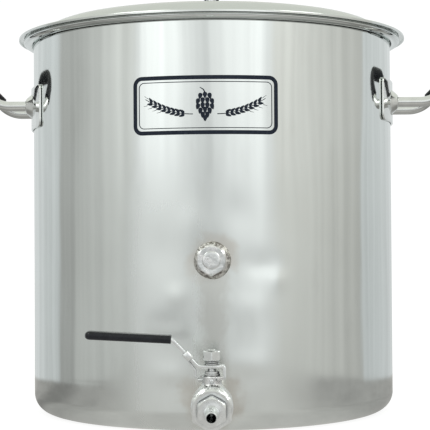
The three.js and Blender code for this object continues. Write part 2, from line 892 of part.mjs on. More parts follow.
// The plate, ring and forked tab of the lever lock, at its locked place.
function leverLock() {
  const along = [-Math.cos(rampAngle), Math.sin(rampAngle)];
  const middle = [rampFoot[0] + along[0] * LOCK.distance, rampFoot[1] + along[1] * LOCK.distance];
  const inner = [LEVER.thickness / 2 + 0.35, LEVER.width / 2 + 0.35];
  const halfLength = LOCK.length / 2;
  const halfThickness = LOCK.thickness / 2;
  const outer = block(
    [-halfLength, -inner[1] - LOCK.wall, -halfThickness],
    [halfLength, inner[1] + LOCK.wall, halfThickness],
  );
  const hole = block([-20, -inner[1], -inner[0]], [20, inner[1], inner[0]]);
  const sleeve = cut(outer, hole).rotateY(rampAngle).translate(middle[0], 0, middle[1]);
  const under = halfThickness - LOCK.legThickness / 2;
  const heel = [
    middle[0] - Math.sin(rampAngle) * under,
    middle[1] - Math.cos(rampAngle) * under,
  ];
  const line = [
    [heel[0], heel[1]],
    [LOCK.tabCentre, LOCK.kneeHeight],
    [LOCK.tabCentre, LOCK.bottom],
  ];
  const leg = strip(line, LOCK.legThickness, LOCK.tabWidth);
  const halfSlot = LOCK.slotWidth / 2;
  const slot = block(
    [LOCK.tabCentre - 5, -halfSlot, LOCK.bottom - 5],
    [LOCK.tabCentre + 5, halfSlot, LOCK.bottom + LOCK.slotHeight],
  );
  const lock = cut(join(sleeve, leg), slot);
  return lock.translate(along[0] * LOCK.travel, 0, along[1] * LOCK.travel);
}

// ---------------------------------------------------------------- drain

function drainPort() {
  const port = portFrame(DRAIN.height);
  port.add(
    mesh("drain_coupling", coupling(DRAIN), steel(0.35)),
    mesh("drain_weld", weldBead(DRAIN), steel(0.45)),
    mesh(
      "drain_nipple",
      ring(DRAIN.nippleBore, DRAIN.nippleRadius, DRAIN.nippleBack, DRAIN.nippleFront),
      steel(0.4),
    ),
    mesh("valve_body", valveBody(), steel(0.35)),
    mesh("valve_end_cap", endCap(), steel(0.3)),
    mesh("valve_body_seal", ring(SEAL.inner, SEAL.outer, SEAL.back, SEAL.front), plastic(0xe8e6dd)),
    mesh("ball_seat_rear", ballSeat(-1), plastic(0xf2f0e8)),
    mesh("ball_seat_front", ballSeat(1), plastic(0xf2f0e8)),
    mesh("valve_ball", valveBall(), steel(0.08)),
    mesh("hose_barb", hoseBarb(), steel(0.25)),
    valveTop(),
  );
  return port;
}

// The stem's frame: Z is up again, on the stem's axis, with heights above the port axis.
function valveTop() {
  const top = new THREE.Group();
  top.position.set(0, 0, VALVE.stem);
  top.rotation.x = -Math.PI / 2;
  const gland = turned([
    [GLAND.inner, GLAND.bottom],
    [GLAND.sleeve, GLAND.bottom],
    [GLAND.sleeve, GLAND.flangeBottom],
    [GLAND.flange, GLAND.flangeBottom],
    [GLAND.flange, GLAND.top],
    [GLAND.inner, GLAND.top],
  ]);
  const nut = cut(
    turnedHexagon(NUT.across, NUT.bottom, NUT.top, 0.3).rotateZ(Math.PI / 6),
    rod(STEM.radius + GAP, NUT.bottom - 5, NUT.top + 5),
  );
  const cone = turned([
    [WASHER.inner, WASHER.top - 0.9],
    [WASHER.outer, WASHER.bottom],
    [WASHER.outer, WASHER.bottom + 1],
    [WASHER.inner + 0.6, WASHER.top],
    [WASHER.inner, WASHER.top],
  ]);
  top.add(
    mesh("valve_stem", valveStem(), steel(0.25)),
    mesh("stem_thrust_washer", ring(THRUST.inner, THRUST.outer, THRUST.bottom, THRUST.top),
      plastic(0xf2f0e8)),
    mesh("stem_packing", ring(PACKING.inner, PACKING.outer, PACKING.bottom, PACKING.top),
      plastic(0xf2f0e8)),
    mesh("stem_gland", gland, steel(0.3)),
    mesh("stem_spring_washer", cone, steel(0.3)),
    mesh("stem_nut", nut, steel(0.25)),
    mesh("lever_arm", leverArm(), steel(0.25)),
    mesh("lever_sleeve", leverSleeve(), rubber(0.35)),
    mesh("lever_lock", leverLock(), steel(0.3)),
  );
  return top;
}

// ---------------------------------------------------------------- assembly

const kettle = new THREE.Group();
kettle.add(
  mesh("kettle_shell", kettleShell(), steel(0.18)),
  sideHandle("left"),
  sideHandle("right"),
  upperPort(),
  drainPort(),
  mesh("lid_shell", lidShell(), steel(0.2)),
  lidHandle(),
);

export default kettle;
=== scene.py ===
"""Looks for the brew kettle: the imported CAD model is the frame, and every visible piece is rebuilt round it.
Lengths are in millimetres here and become metres in make()."""
import math

import bmesh
import bpy
import numpy as np
from mathutils import Matrix, Vector


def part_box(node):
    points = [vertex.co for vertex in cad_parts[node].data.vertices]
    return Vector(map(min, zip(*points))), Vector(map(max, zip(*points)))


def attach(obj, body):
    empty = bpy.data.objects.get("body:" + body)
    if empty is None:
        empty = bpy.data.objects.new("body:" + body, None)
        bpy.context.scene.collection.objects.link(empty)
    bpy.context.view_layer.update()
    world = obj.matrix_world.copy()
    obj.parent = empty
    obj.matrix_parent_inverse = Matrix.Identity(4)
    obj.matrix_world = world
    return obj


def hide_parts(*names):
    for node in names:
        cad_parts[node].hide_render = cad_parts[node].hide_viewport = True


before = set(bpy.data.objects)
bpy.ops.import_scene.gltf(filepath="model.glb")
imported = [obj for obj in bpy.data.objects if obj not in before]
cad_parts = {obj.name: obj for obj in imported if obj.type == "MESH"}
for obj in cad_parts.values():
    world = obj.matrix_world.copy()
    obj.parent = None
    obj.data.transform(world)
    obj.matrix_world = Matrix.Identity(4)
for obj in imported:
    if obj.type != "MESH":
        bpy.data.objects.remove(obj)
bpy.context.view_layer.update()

MM = 0.001
TAU = 2 * math.pi


def box_mm(node):
    low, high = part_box(node)
    return np.array(low) / MM, np.array(high) / MM


# ---------------------------------------------------------------- sizes from the frame

SHELL_HIGH = box_mm("kettle_shell")[1]
LID_LOW, LID_HIGH = box_mm("lid_shell")
PLUG_LOW, PLUG_HIGH = box_mm("upper_port_plug")
UPPER_WELD_LOW, UPPER_WELD_HIGH = box_mm("upper_port_weld")
DRAIN_WELD_LOW, DRAIN_WELD_HIGH = box_mm("drain_weld")
COUPLING_LOW, COUPLING_HIGH = box_mm("drain_coupling")
NIPPLE_LOW, NIPPLE_HIGH = box_mm("drain_nipple")
BODY_LOW, BODY_HIGH = box_mm("valve_body")
CAP_LOW, CAP_HIGH = box_mm("valve_end_cap")
BARB_LOW, BARB_HIGH = box_mm("hose_barb")
GLAND_LOW, GLAND_HIGH = box_mm("stem_gland")
STEM_LOW, STEM_HIGH = box_mm("valve_stem")
SPRING_LOW, SPRING_HIGH = box_mm("stem_spring_washer")
NUT_LOW, NUT_HIGH = box_mm("stem_nut")
LEVER_LOW, LEVER_HIGH = box_mm("lever_arm")
SLEEVE_LOW = box_mm("lever_sleeve")[0]
LOCK_LOW = box_mm("lever_lock")[0]
TOP_PLATE_HIGH = box_mm("lid_handle_plate")[1]
TOP_BAR_HIGH = box_mm("lid_handle_bar")[1]
TOP_GRIP_LOW = box_mm("lid_handle_grip")[0]

WALL = 1.5
POT_RADIUS = 200.0
POT_CORNER = 20.4
WALL_TOP = SHELL_HIGH[2] - 6.4
BEAD_HALF = (6.2, 3.5)
BEAD = (SHELL_HIGH[0] - BEAD_HALF[0], SHELL_HIGH[2] - BEAD_HALF[1])
UPPER_AXIS = float(UPPER_WELD_LOW[2] + UPPER_WELD_HIGH[2]) / 2
DRAIN_AXIS = float(DRAIN_WELD_LOW[2] + DRAIN_WELD_HIGH[2]) / 2
STEM_Y = float(NUT_LOW[1] + NUT_HIGH[1]) / 2
COUPLING_RADIUS = float(COUPLING_HIGH[0])
COUPLING_BORE = 10.6
HOLE = COUPLING_RADIUS + 0.3


# ---------------------------------------------------------------- mesh helpers


def make(name, verts, faces, material, body, nodes=(), sharp=35):
    """A smooth mesh piece in the row frame, with sharp edges above an angle, riding on a CAD body."""
    mesh = bpy.data.meshes.new(name)
    mesh.from_pydata((np.asarray(verts, float).reshape(-1, 3) * MM).tolist(), [], faces)
    tidy = bmesh.new()
    tidy.from_mesh(mesh)
    bmesh.ops.remove_doubles(tidy, verts=tidy.verts, dist=3e-6)
    bmesh.ops.recalc_face_normals(tidy, faces=tidy.faces)
    tidy.to_mesh(mesh)
    tidy.free()
    mesh.polygons.foreach_set("use_smooth", np.ones(len(mesh.polygons), dtype=bool))
    mesh.set_sharp_from_angle(angle=math.radians(sharp))
    mesh.materials.append(material)
    piece = bpy.data.objects.new(name, mesh)
    bpy.context.scene.collection.objects.link(piece)
    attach(piece, body)
    if nodes:
        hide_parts(*nodes)
    return piece


def merge(*parts):
    """Joins (verts, faces) pairs into one."""
    verts, faces, count = [], [], 0
    for v, f in parts:
        v = np.asarray(v, float).reshape(-1, 3)
        verts.append(v)
        faces.extend(tuple(i + count for i in face) for face in f)
        count += len(v)
    return np.concatenate(verts), faces


def grid_faces(rows, cols, wrap_rows=False, wrap_cols=True):
    faces = []
    for i in range(rows if wrap_rows else rows - 1):
        a, b = i * cols, ((i + 1) % rows) * cols
        for j in range(cols if wrap_cols else cols - 1):
            k = (j + 1) % cols
            faces.append((a + j, a + k, b + k, b + j))
    return faces


def fillet(points, radius, steps=4, closed=True):
    """Rounds the corners of a polyline. radius is one number or one for each point."""
    out = []
    count = len(points)
    for i, point in enumerate(points):
        r = radius[i] if isinstance(radius, (list, tuple)) else radius
        p = np.array(point, float)
        if r <= 0 or (not closed and i in (0, count - 1)):
            out.append(p)
            continue
        a, b = np.array(points[i - 1], float) - p, np.array(points[(i + 1) % count], float) - p
        la, lb = np.linalg.norm(a), np.linalg.norm(b)
        cosine = np.clip(np.dot(a, b) / (la * lb), -1, 1)
        half = math.acos(cosine) / 2
        if half > 1.54:
            out.append(p)
            continue
        reach = min(r / math.tan(half), 0.48 * la, 0.48 * lb)
        start, end = p + a / la * reach, p + b / lb * reach
        weight = math.sin(half)
        for k in range(steps + 1):
            t = k / steps
            w = [(1 - t) ** 2, 2 * t * (1 - t) * weight, t * t]
            out.append((w[0] * start + w[1] * p + w[2] * end) / sum(w))
    return out


def arc(centre, radii, start, end, steps):
    """Points of an elliptical arc, angles in degrees."""
    turn = np.radians(np.linspace(start, end, steps + 1))
    return [np.array([centre[0] + radii[0] * math.cos(t), centre[1] + radii[1] * math.sin(t)]) for t in turn]


def spin(profile, sides, place):
    """Turns a profile of (radius, height) about an axis. The profile may be a function of the angle."""
    turn = np.arange(sides) * TAU / sides
    table = np.array([profile(t) if callable(profile) else profile for t in turn], float)
    r, h = table[:, :, 0].T, table[:, :, 1].T
    verts = place(r * np.cos(turn), r * np.sin(turn), h).reshape(-1, 3)
    wrap = not (abs(r[0]).max() < 1e-6 and abs(r[-1]).max() < 1e-6)
    return verts, grid_faces(len(r), sides, wrap_rows=wrap)


def upright(x, y, h):
    return np.stack([x, y, h + 0 * x], -1)


def at_port(height):
    """A port's own frame: x right, y up, h forward from the pot's axis."""
    return lambda x, y, h: np.stack([x, -h, y + height], -1)


def on_stem(x, y, h):
    return np.stack([x, y + STEM_Y, h + 0 * x], -1)


def hexagon(across, rounding=0.5):
    """Radius of a hexagon with slightly rounded corners as a function of angle, corners at 90 degrees."""
    corner = across / math.sqrt(3)

    def radius(turn):
        off = (math.degrees(turn) - 60) % 60 - 30
        flat = across / 2 / math.cos(math.radians(30 - abs(off)))
        return min(flat, corner - rounding * (1 - abs(off) / 30) ** 8)

    return radius


def hex_profile(across, back, front, bore, back_chamfer=False, face=None, lip=0.4):
    """A nut: its corners are turned down by a cone at the front, and at the back if asked."""
    radius = hexagon(across)
    face = face or across / 2 - 0.5

    def profile(turn):
        r = radius(turn)
        drop = max(r - face, 0) * 0.58 + 0.15
        rear = (max(r - face, 0) * 0.58 + 0.15) if back_chamfer else 0.15
        mid = (front + back) / 2
        return [
            (bore, back), (face - 0.6, back), (face, back), (r - 0.12, back + rear - 0.1), (r, back + rear),
            (r, mid), (r, front - drop), (r - 0.12, front - drop + 0.1), (face, front), (face - 0.6, front),
            (bore + lip, front), (bore, front - lip),
        ]

    return profile


def sweep(points, section, up=None, caps=True):
    """Carries a closed section along points. section is an array of (side, up) or a function of (index, arc length)."""
    p = np.asarray(points, float)
    length = np.concatenate([[0], np.cumsum(np.linalg.norm(np.diff(p, axis=0), axis=1))])
    t = np.gradient(p, length, axis=0)
    t /= np.linalg.norm(t, axis=1)[:, None]
    rings = []
    reference = np.array(up, float) if up is not None else None
    if reference is None:
        reference = np.cross(t[0], [0.3, 0.5, 0.81])
        reference /= np.linalg.norm(reference)
    for i in range(len(p)):
        side = np.cross(t[i], reference)
        side /= np.linalg.norm(side)
        over = np.cross(side, t[i])
        if up is None:
            reference = over
        s = np.asarray(section(i, length[i]) if callable(section) else section, float)
        rings.append(p[i] + s[:, :1] * side + s[:, 1:] * over)
    count = len(rings[0])
    faces = grid_faces(len(rings), count)
    if caps:
        last = (len(rings) - 1) * count
        faces += [tuple(range(count))[::-1], tuple(range(last, last + count))]
    return np.concatenate(rings), faces


def circle(radius, sides=28):
    t = np.arange(sides) * TAU / sides
    return np.stack([radius * np.cos(t), radius * np.sin(t)], -1)


def rounded_rectangle(half_x, half_y, corner, corner_steps=5, side_x=1, side_y=1):
    """Outline points of a rounded rectangle, anticlockwise from its upper right corner."""
    corner = max(min(corner, half_x, half_y), 0.0)
    ix, iy = half_x - corner, half_y - corner
    out = []
    corners = ((ix, iy, 0, side_x), (-ix, iy, 90, side_y), (-ix, -iy, 180, side_x), (ix, -iy, 270, side_y))
    for cx, cy, start, pieces in corners:
        for k in range(corner_steps + 1):
            a = math.radians(start + 90 * k / corner_steps)
            out.append((cx + corner * math.cos(a), cy + corner * math.sin(a)))
        ends = {0: (-ix, half_y), 90: (-half_x, -iy), 180: (ix, -half_y), 270: (half_x, iy)}
        end = np.array(out[-1])
        out += [tuple(end + (np.array(ends[start]) - end) * k / pieces) for k in range(1, pieces)]
    return np.array(out)


def plate(half_u, half_v, corner, thickness, edge, place, side_u=40, side_v=12, inner=8):
    """A rounded rectangle of sheet with rolled edges. place maps (u, v, height above its middle) to millimetres."""
    turns = np.linspace(0, math.pi / 2, 5)
    depths = [(edge * (1 - math.cos(t)), thickness / 2 * math.sin(t)) for t in turns]
    reach = min(half_u, half_v)
    depths += [(edge + (reach - edge) * k / inner, thickness / 2) for k in range(1, inner + 1)]
    rings = []
    order = [(d, h) for d, h in depths[::-1]] + [(d, -h) for d, h in depths[1:]]
    for depth, height in order:
        o = rounded_rectangle(half_u - depth, half_v - depth, corner - depth, 5, side_u, side_v)
        rings.append(place(o[:, 0], o[:, 1], np.full(len(o), height)))
    return np.concatenate(rings), grid_faces(len(rings), len(rings[0]))


def rounded_path(corners, radii, turn_step=4.0):
    """Straight runs joined by circular bends, as points in space."""
    c = [np.array(p, float) for p in corners]
    out = [c[0]]
    for i in range(1, len(c) - 1):
        a, b = c[i - 1] - c[i], c[i + 1] - c[i]
        a, b = a / np.linalg.norm(a), b / np.linalg.norm(b)
        half = math.acos(np.clip(np.dot(a, b), -1, 1)) / 2
        reach = radii[i - 1] / math.tan(half)
        centre = c[i] + (a + b) / np.linalg.norm(a + b) * radii[i - 1] / math.sin(half)
        start = c[i] + a * reach - centre
        end = c[i] + b * reach - centre
        turn = math.pi - 2 * half
        steps = max(2, round(math.degrees(turn) / turn_step))
        for k in range(steps + 1):
            t = k / steps
            out.append(centre + (math.sin((1 - t) * turn) * start + math.sin(t * turn) * end) / math.sin(turn))
    out.append(c[-1])
    return np.array(out)


def along(points, stations):
    """Points at the given arc lengths of a polyline. Negative stations count from its end."""
    length = np.concatenate([[0], np.cumsum(np.linalg.norm(np.diff(points, axis=0), axis=1))])
    s = np.array([x if x >= 0 else length[-1] + x for x in stations])
    return np.stack([np.interp(s, length, points[:, k]) for k in range(3)], -1)


def run_length(points):
    return float(np.linalg.norm(np.diff(points, axis=0), axis=1).sum())


def applied(piece):
    """Replaces a piece's mesh by what its modifiers make of it."""
    bpy.context.view_layer.update()
    shaped = piece.evaluated_get(bpy.context.evaluated_depsgraph_get())
    mesh = bpy.data.meshes.new_from_object(shaped)
    piece.modifiers.clear()
    piece.data = mesh
    return piece


def smooth_noise(a, b, seed, waves=7):
    """A smooth, repeatable unevenness from -1 to 1 over two coordinates whose features are about 1 unit wide."""
    rng = np.random.default_rng(seed)
    total = 0
    for _ in range(waves):
        angle, wave, phase = rng.uniform(0, TAU), rng.uniform(0.55, 1.6), rng.uniform(0, TAU)
        total = total + np.sin(wave * 2 * (a * math.cos(angle) + b * math.sin(angle)) + phase)
    return total / math.sqrt(waves * 2)


# ---------------------------------------------------------------- materials


class Finish:
    """A procedural material built round one Principled shader. Textures use object coordinates in metres."""

    def __init__(self, name, colour, metallic, roughness):
        self.material = bpy.data.materials.new(name)
        self.material.use_nodes = True
        self.tree = self.material.node_tree
        self.main = self.tree.nodes["Principled BSDF"]
        self.main.inputs["Base Color"].default_value = (*colour, 1)
        self.main.inputs["Metallic"].default_value = metallic
        self.main.inputs["Roughness"].default_value = roughness
        self.place = self.tree.nodes.new("ShaderNodeTexCoord").outputs["Object"]
        self.normal = None

    def node(self, kind, **settings):
        made = self.tree.nodes.new(kind)
        for key, value in settings.items():
            setattr(made, key, value)
        return made

    def feed(self, socket, value):
        if isinstance(value, bpy.types.NodeSocket):
            self.tree.links.new(value, socket)
        elif isinstance(value, (tuple, list)) and len(value) == 3 and len(socket.default_value) == 4:
            socket.default_value = (*value, 1)
        else:
            socket.default_value = value

    def math(self, operation, a, b=0.0, clamp=False):
        made = self.node("ShaderNodeMath", operation=operation, use_clamp=clamp)
        self.feed(made.inputs[0], a)
        self.feed(made.inputs[1], b)
        return made.outputs[0]

    def plus(self, a, b):
        return self.math("ADD", a, b)

    def minus(self, a, b):
        return self.math("SUBTRACT", a, b)

    def times(self, a, b):
        return self.math("MULTIPLY", a, b)

    def distance(self, a, b):
        """Length of the vector (a, b)."""
        return self.math("POWER", self.plus(self.math("POWER", a, 2.0), self.math("POWER", b, 2.0)), 0.5)

    def wander(self, reach, *noise, **more):
        """An unevenness of plus or minus half of reach."""
        return self.times(self.minus(self.noise(*noise, **more), 0.5), reach)

    def stretched(self, scale, offset=(0, 0, 0)):
        made = self.node("ShaderNodeMapping")
        self.feed(made.inputs["Vector"], self.place)
        made.inputs["Scale"].default_value = scale
        made.inputs["Location"].default_value = offset
        return made.outputs[0]

    def noise(self, scale, detail=3.0, rough=0.5, stretch=(1, 1, 1), offset=(0, 0, 0), distortion=0.0):
        made = self.node("ShaderNodeTexNoise")
        self.feed(made.inputs["Vector"], self.stretched(stretch, offset))
        made.inputs["Scale"].default_value = scale
        made.inputs["Detail"].default_value = detail
        made.inputs["Roughness"].default_value = rough
        made.inputs["Distortion"].default_value = distortion
        return made.outputs["Fac"]

    def ranged(self, value, low, high, to_low, to_high, smooth=True):
        made = self.node("ShaderNodeMapRange", interpolation_type="SMOOTHSTEP" if smooth else "LINEAR")
        for socket, number in zip(made.inputs[:5], (value, low, high, to_low, to_high)):
            self.feed(socket, number)
        return made.outputs[0]

    def mix(self, factor, a, b, blend="MIX"):
        made = self.node("ShaderNodeMix", data_type="RGBA", blend_type=blend)
        self.feed(made.inputs[0], factor)
        self.feed(made.inputs[6], a)
        self.feed(made.inputs[7], b)
        return made.outputs[2]

    def axes(self):
        made = self.node("ShaderNodeSeparateXYZ")
        self.feed(made.inputs[0], self.place)
        return made.outputs

    def bump(self, height, distance, strength=1.0):
        made = self.node("ShaderNodeBump")
        made.inputs["Strength"].default_value = strength
        made.inputs["Distance"].default_value = distance
        self.feed(made.inputs["Height"], height)
        if self.normal is not None:
            self.feed(made.inputs["Normal"], self.normal)
        self.normal = made.outputs[0]
        self.feed(self.main.inputs["Normal"], self.normal)

    def colour(self, socket):
        self.feed(self.main.inputs["Base Color"], socket)

    def roughness(self, socket):
        self.feed(self.main.inputs["Roughness"], socket)


HALO_START, HALO_STRENGTH = 0.015, 0.6
UPPER_HALO = ((0.64, 0.60, 0.54), 0.030)
DRAIN_HALO = ((0.54, 0.50, 0.44), 0.034)
SATIN_METAL = 0.45


def wall_steel():
    """Bright-drawn sheet: nearly a mirror, hand-polished and a little duller round the two welds."""
    f = Finish("shell_steel", (0.755, 0.79, 0.78), 1.0, 0.07)
    x, y, z = f.axes()[:3]
    clouds = f.noise(7, 3, 0.55)
    base = f.mix(f.ranged(clouds, 0.35, 0.65, 0, 1), (0.744, 0.775, 0.762), (0.774, 0.807, 0.797))
    smears = f.noise(34, 4, 0.6, (1, 1, 0.3), (0.2, 0.5, 0.1))
    base = f.mix(f.ranged(smears, 0.52, 0.72, 0, 0.35), base, (0.695, 0.722, 0.71))
    front = f.ranged(y, -0.19, -0.15, 1, 0)
    # Heat left a brownish halo round each weld.
    for axis, (tint, reach) in ((UPPER_AXIS, UPPER_HALO), (DRAIN_AXIS, DRAIN_HALO)):
        away = f.distance(x, f.minus(z, axis * MM))
        blotch = f.plus(away, f.wander(0.05, 28, 3, 0.6, offset=(axis, 0, 0)))
        base = f.mix(f.times(f.ranged(blotch, HALO_START, reach, HALO_STRENGTH, 0), front), base, tint)
    # A dull stain runs down between the welds.
    across = f.math("ABSOLUTE", f.minus(x, 0.002))
    edge = f.plus(across, f.wander(0.030, 55, 5, 0.65, (1, 1, 0.7)))
    below_port = f.times(f.ranged(z, 0.150, 0.166, 1, 0), front)
    base = f.mix(f.times(f.ranged(edge, 0.006, 0.018, 0.6, 0), below_port), base, (0.61, 0.61, 0.575))
    f.colour(base)
    # The sheet was rubbed dull by hand in front, more so on the left of the ports.
    rubbed = f.times(f.ranged(f.math("ABSOLUTE", x), 0.060, 0.125, 1, 0), f.ranged(z, 0.20, 0.29, 1, 0))
    rubbed = f.times(rubbed, front)
    grain = f.noise(420, 3, 0.7, (1, 1, 0.05))
    rough = f.plus(f.ranged(grain, 0.3, 0.7, 0.045, 0.075), f.ranged(clouds, 0.35, 0.65, 0, 0.03))
    f.roughness(f.plus(rough, f.times(rubbed, f.ranged(x, -0.035, 0.02, 0.24, 0.12))))
    # The inside is left satin, as it came from the press.
    facing = f.node("ShaderNodeSeparateXYZ")
    f.feed(facing.inputs[0], f.node("ShaderNodeNewGeometry").outputs["True Normal"])
    outward = f.plus(f.times(x, facing.outputs[0]), f.times(y, facing.outputs[1]))
    inner_wall = f.times(f.ranged(outward, -0.08, -0.02, 1, 0), f.ranged(z, 0.395, 0.402, 1, 0))
    inner_base = f.times(f.ranged(facing.outputs[2], 0.5, 0.9, 0, 1), f.ranged(z, 0.30, 0.38, 1, 0))
    inside = f.math("MAXIMUM", inner_wall, inner_base)
    f.feed(f.main.inputs["Metallic"], f.ranged(inside, 0.0, 1.0, 1.0, SATIN_METAL, smooth=False))
    f.bump(f.noise(13, 1.5, 0.4, (1, 1, 0.35), (0.4, 0.1, 0.3)), 0.0016)
    f.bump(f.noise(34, 1.5, 0.4, (1, 1, 0.10)), 0.00010)
    f.bump(f.noise(75, 2, 0.5, (1, 1, 0.03)), 0.000025)
    f.bump(grain, 0.0000015)
    return f.material


def plain_steel(name, colour, rough, grain_scale, grain_depth, spread, mottle, lumps=0.0, painted_corner_shade=0.0):
    """Solid stainless steel: a little colour and roughness variation, a grain of a given size and depth, and
    where a width is given for it, painted shade: corners darkened in the colour over about that width."""
    f = Finish(name, colour, 1.0, rough)
    patches = f.noise(90, 3, 0.6)
    darker = tuple(c * (1 - mottle * 1.6) for c in colour)
    lighter = tuple(min(c * (1 + mottle), 0.93) for c in colour)
    metal = f.mix(f.ranged(patches, 0.32, 0.68, 0, 1), darker, lighter)
    if painted_corner_shade:
        # Painted shade: ambient occlusion darkens the colour in corners and creases, where less light reaches.
        corners = f.node("ShaderNodeAmbientOcclusion", samples=6)
        corners.inputs["Distance"].default_value = painted_corner_shade
        hidden = f.ranged(corners.outputs["AO"], 0.30, 0.85, 0.85, 0)
        metal = f.mix(hidden, metal, tuple(c * 0.22 for c in colour))
    f.colour(metal)
    grain = f.noise(grain_scale, 3, 0.65)
    fine = f.ranged(grain, 0.3, 0.7, max(rough - spread, 0.03), rough + spread)
    f.roughness(f.plus(fine, f.ranged(patches, 0.3, 0.7, 0, spread)))
    if lumps:
        f.bump(f.noise(300, 2, 0.5), lumps)
    f.bump(grain, grain_depth)
    return f.material


def weld_steel():
    f = Finish("weld_metal", (0.66, 0.64, 0.60), 1.0, 0.28)
    spots = f.noise(260, 4, 0.7)
    stain = f.noise(110, 3, 0.6, offset=(0.3, 0.1, 0.7))
    base = f.mix(f.ranged(spots, 0.35, 0.62, 0, 1), (0.16, 0.145, 0.13), (0.82, 0.81, 0.78))
    f.colour(f.mix(f.ranged(stain, 0.48, 0.66, 0, 0.6), base, (0.22, 0.20, 0.20)))
    f.roughness(f.ranged(spots, 0.3, 0.7, 0.42, 0.2))
    f.bump(spots, 0.0008)
    return f.material


def rubber(name, colour, rough, grain_depth, coat=0.0):
    f = Finish(name, colour, 0.0, rough)
    dust = f.noise(130, 4, 0.6)
    f.colour(f.mix(f.ranged(dust, 0.35, 0.75, 0, 1), colour, tuple(c * 1.5 + 0.002 for c in colour)))
    pores = f.noise(1400, 2, 0.6)
    f.roughness(f.ranged(dust, 0.3, 0.7, rough - 0.05, rough + 0.07))
    f.bump(f.noise(60, 2, 0.5), 0.00025)
    f.bump(pores, grain_depth)
    f.main.inputs["Specular IOR Level"].default_value = 0.3
    f.main.inputs["Coat Weight"].default_value = coat
    f.main.inputs["Coat Roughness"].default_value = 0.08
    return f.material


def seat_plastic():
    f = Finish("ptfe", (0.88, 0.87, 0.83), 0.0, 0.38)
    f.main.inputs["Subsurface Weight"].default_value = 0.08
    f.main.inputs["Subsurface Radius"].default_value = (0.0012, 0.001, 0.0008)
    marks = f.noise(350, 3, 0.6)
    f.colour(f.mix(f.ranged(marks, 0.3, 0.7, 0, 1), (0.85, 0.84, 0.79), (0.91, 0.90, 0.87)))
    f.roughness(f.ranged(marks, 0.3, 0.7, 0.32, 0.45))
    f.bump(marks, 0.00004)
    return f.material


def printed_ink():
    f = Finish("badge_print", (0.009, 0.013, 0.022), 0.0, 0.5)
    f.main.inputs["Specular IOR Level"].default_value = 0.12
    wear = f.noise(500, 4, 0.6)
    f.colour(f.mix(f.ranged(wear, 0.3, 0.75, 0, 1), (0.008, 0.012, 0.021), (0.018, 0.024, 0.038)))
    f.roughness(f.ranged(wear, 0.3, 0.7, 0.42, 0.58))
    f.bump(wear, 0.00002)
    return f.material


SHELL = wall_steel()
LID_STEEL = plain_steel("lid_steel", (0.73, 0.755, 0.74), 0.13, 380, 0.000006, 0.012, 0.006)
POLISHED = plain_steel("polished_steel", (0.80, 0.815, 0.80), 0.085, 300, 0.00001, 0.03, 0.03)
# The machined and cast steels carry painted shade in their corners.
MACHINED = plain_steel("machined_steel", (0.83, 0.85, 0.85), 0.15, 900, 0.00003, 0.05, 0.05, painted_corner_shade=0.006)
CAST = plain_steel("cast_steel", (0.85, 0.88, 0.88), 0.17, 650, 0.00010, 0.08, 0.12, lumps=0.0002, painted_corner_shade=0.007)
WELD = weld_steel()
GRIP = rubber("silicone_grip", (0.006, 0.007, 0.010), 0.42, 0.00003)
VINYL = rubber("vinyl_sleeve", (0.004, 0.005, 0.008), 0.26, 0.00001, coat=0.15)
PTFE = seat_plastic()
INK = printed_ink()


# ---------------------------------------------------------------- pot


# Small dents where the wall was worked by hand: place round the wall, height, reach each way and depth.
DENTS = [
    (50, 164, 16, 12, -1.15), (66, 148, 8, 10, 0.75), (-34, 134, 10, 10, 0.75),
    (-48, 176, 16, 24, -0.60), (-18, 204, 13, 18, 0.55),
    (26, 214, 15, 20, -0.60), (40, 122, 20, 15, 0.65),
    (-44, 108, 22, 12, -0.55), (34, 68, 24, 12, 0.55), (-40, 58, 18, 10, 0.50),
]


def wall_dent(s, z):
    """How far the outer wall stands off a true cylinder. s is the distance round from the front, z the height."""
    def near(height, reach):
        return np.exp(-(s ** 2 + (z - height) ** 2) / (2 * reach ** 2))

    front = np.exp(-(s / 170.0) ** 4)
    upper = -0.75 * near(UPPER_AXIS, 17) + 0.30 * near(UPPER_AXIS, 46) * smooth_noise(s / 26, z / 30, 3)
    lower = -0.60 * near(DRAIN_AXIS, 17) + 0.28 * near(DRAIN_AXIS, 46) * smooth_noise(s / 26, z / 28, 5)
    worked = 0
    for at, high, wide, tall, depth in DENTS:
        worked = worked + depth * np.exp(-((s - at) / wide) ** 2 - ((z - high) / tall) ** 2)
    ends = np.clip((z - POT_CORNER) / 25, 0, 1) * np.clip((WALL_TOP - z) / 30, 0, 1)
    broad = 0.20 * smooth_noise(s / 70, z / 160, 8) + 0.05 * smooth_noise(s / 24, z / 110, 11)
    return (upper + lower + worked) * front * ends + broad * ends


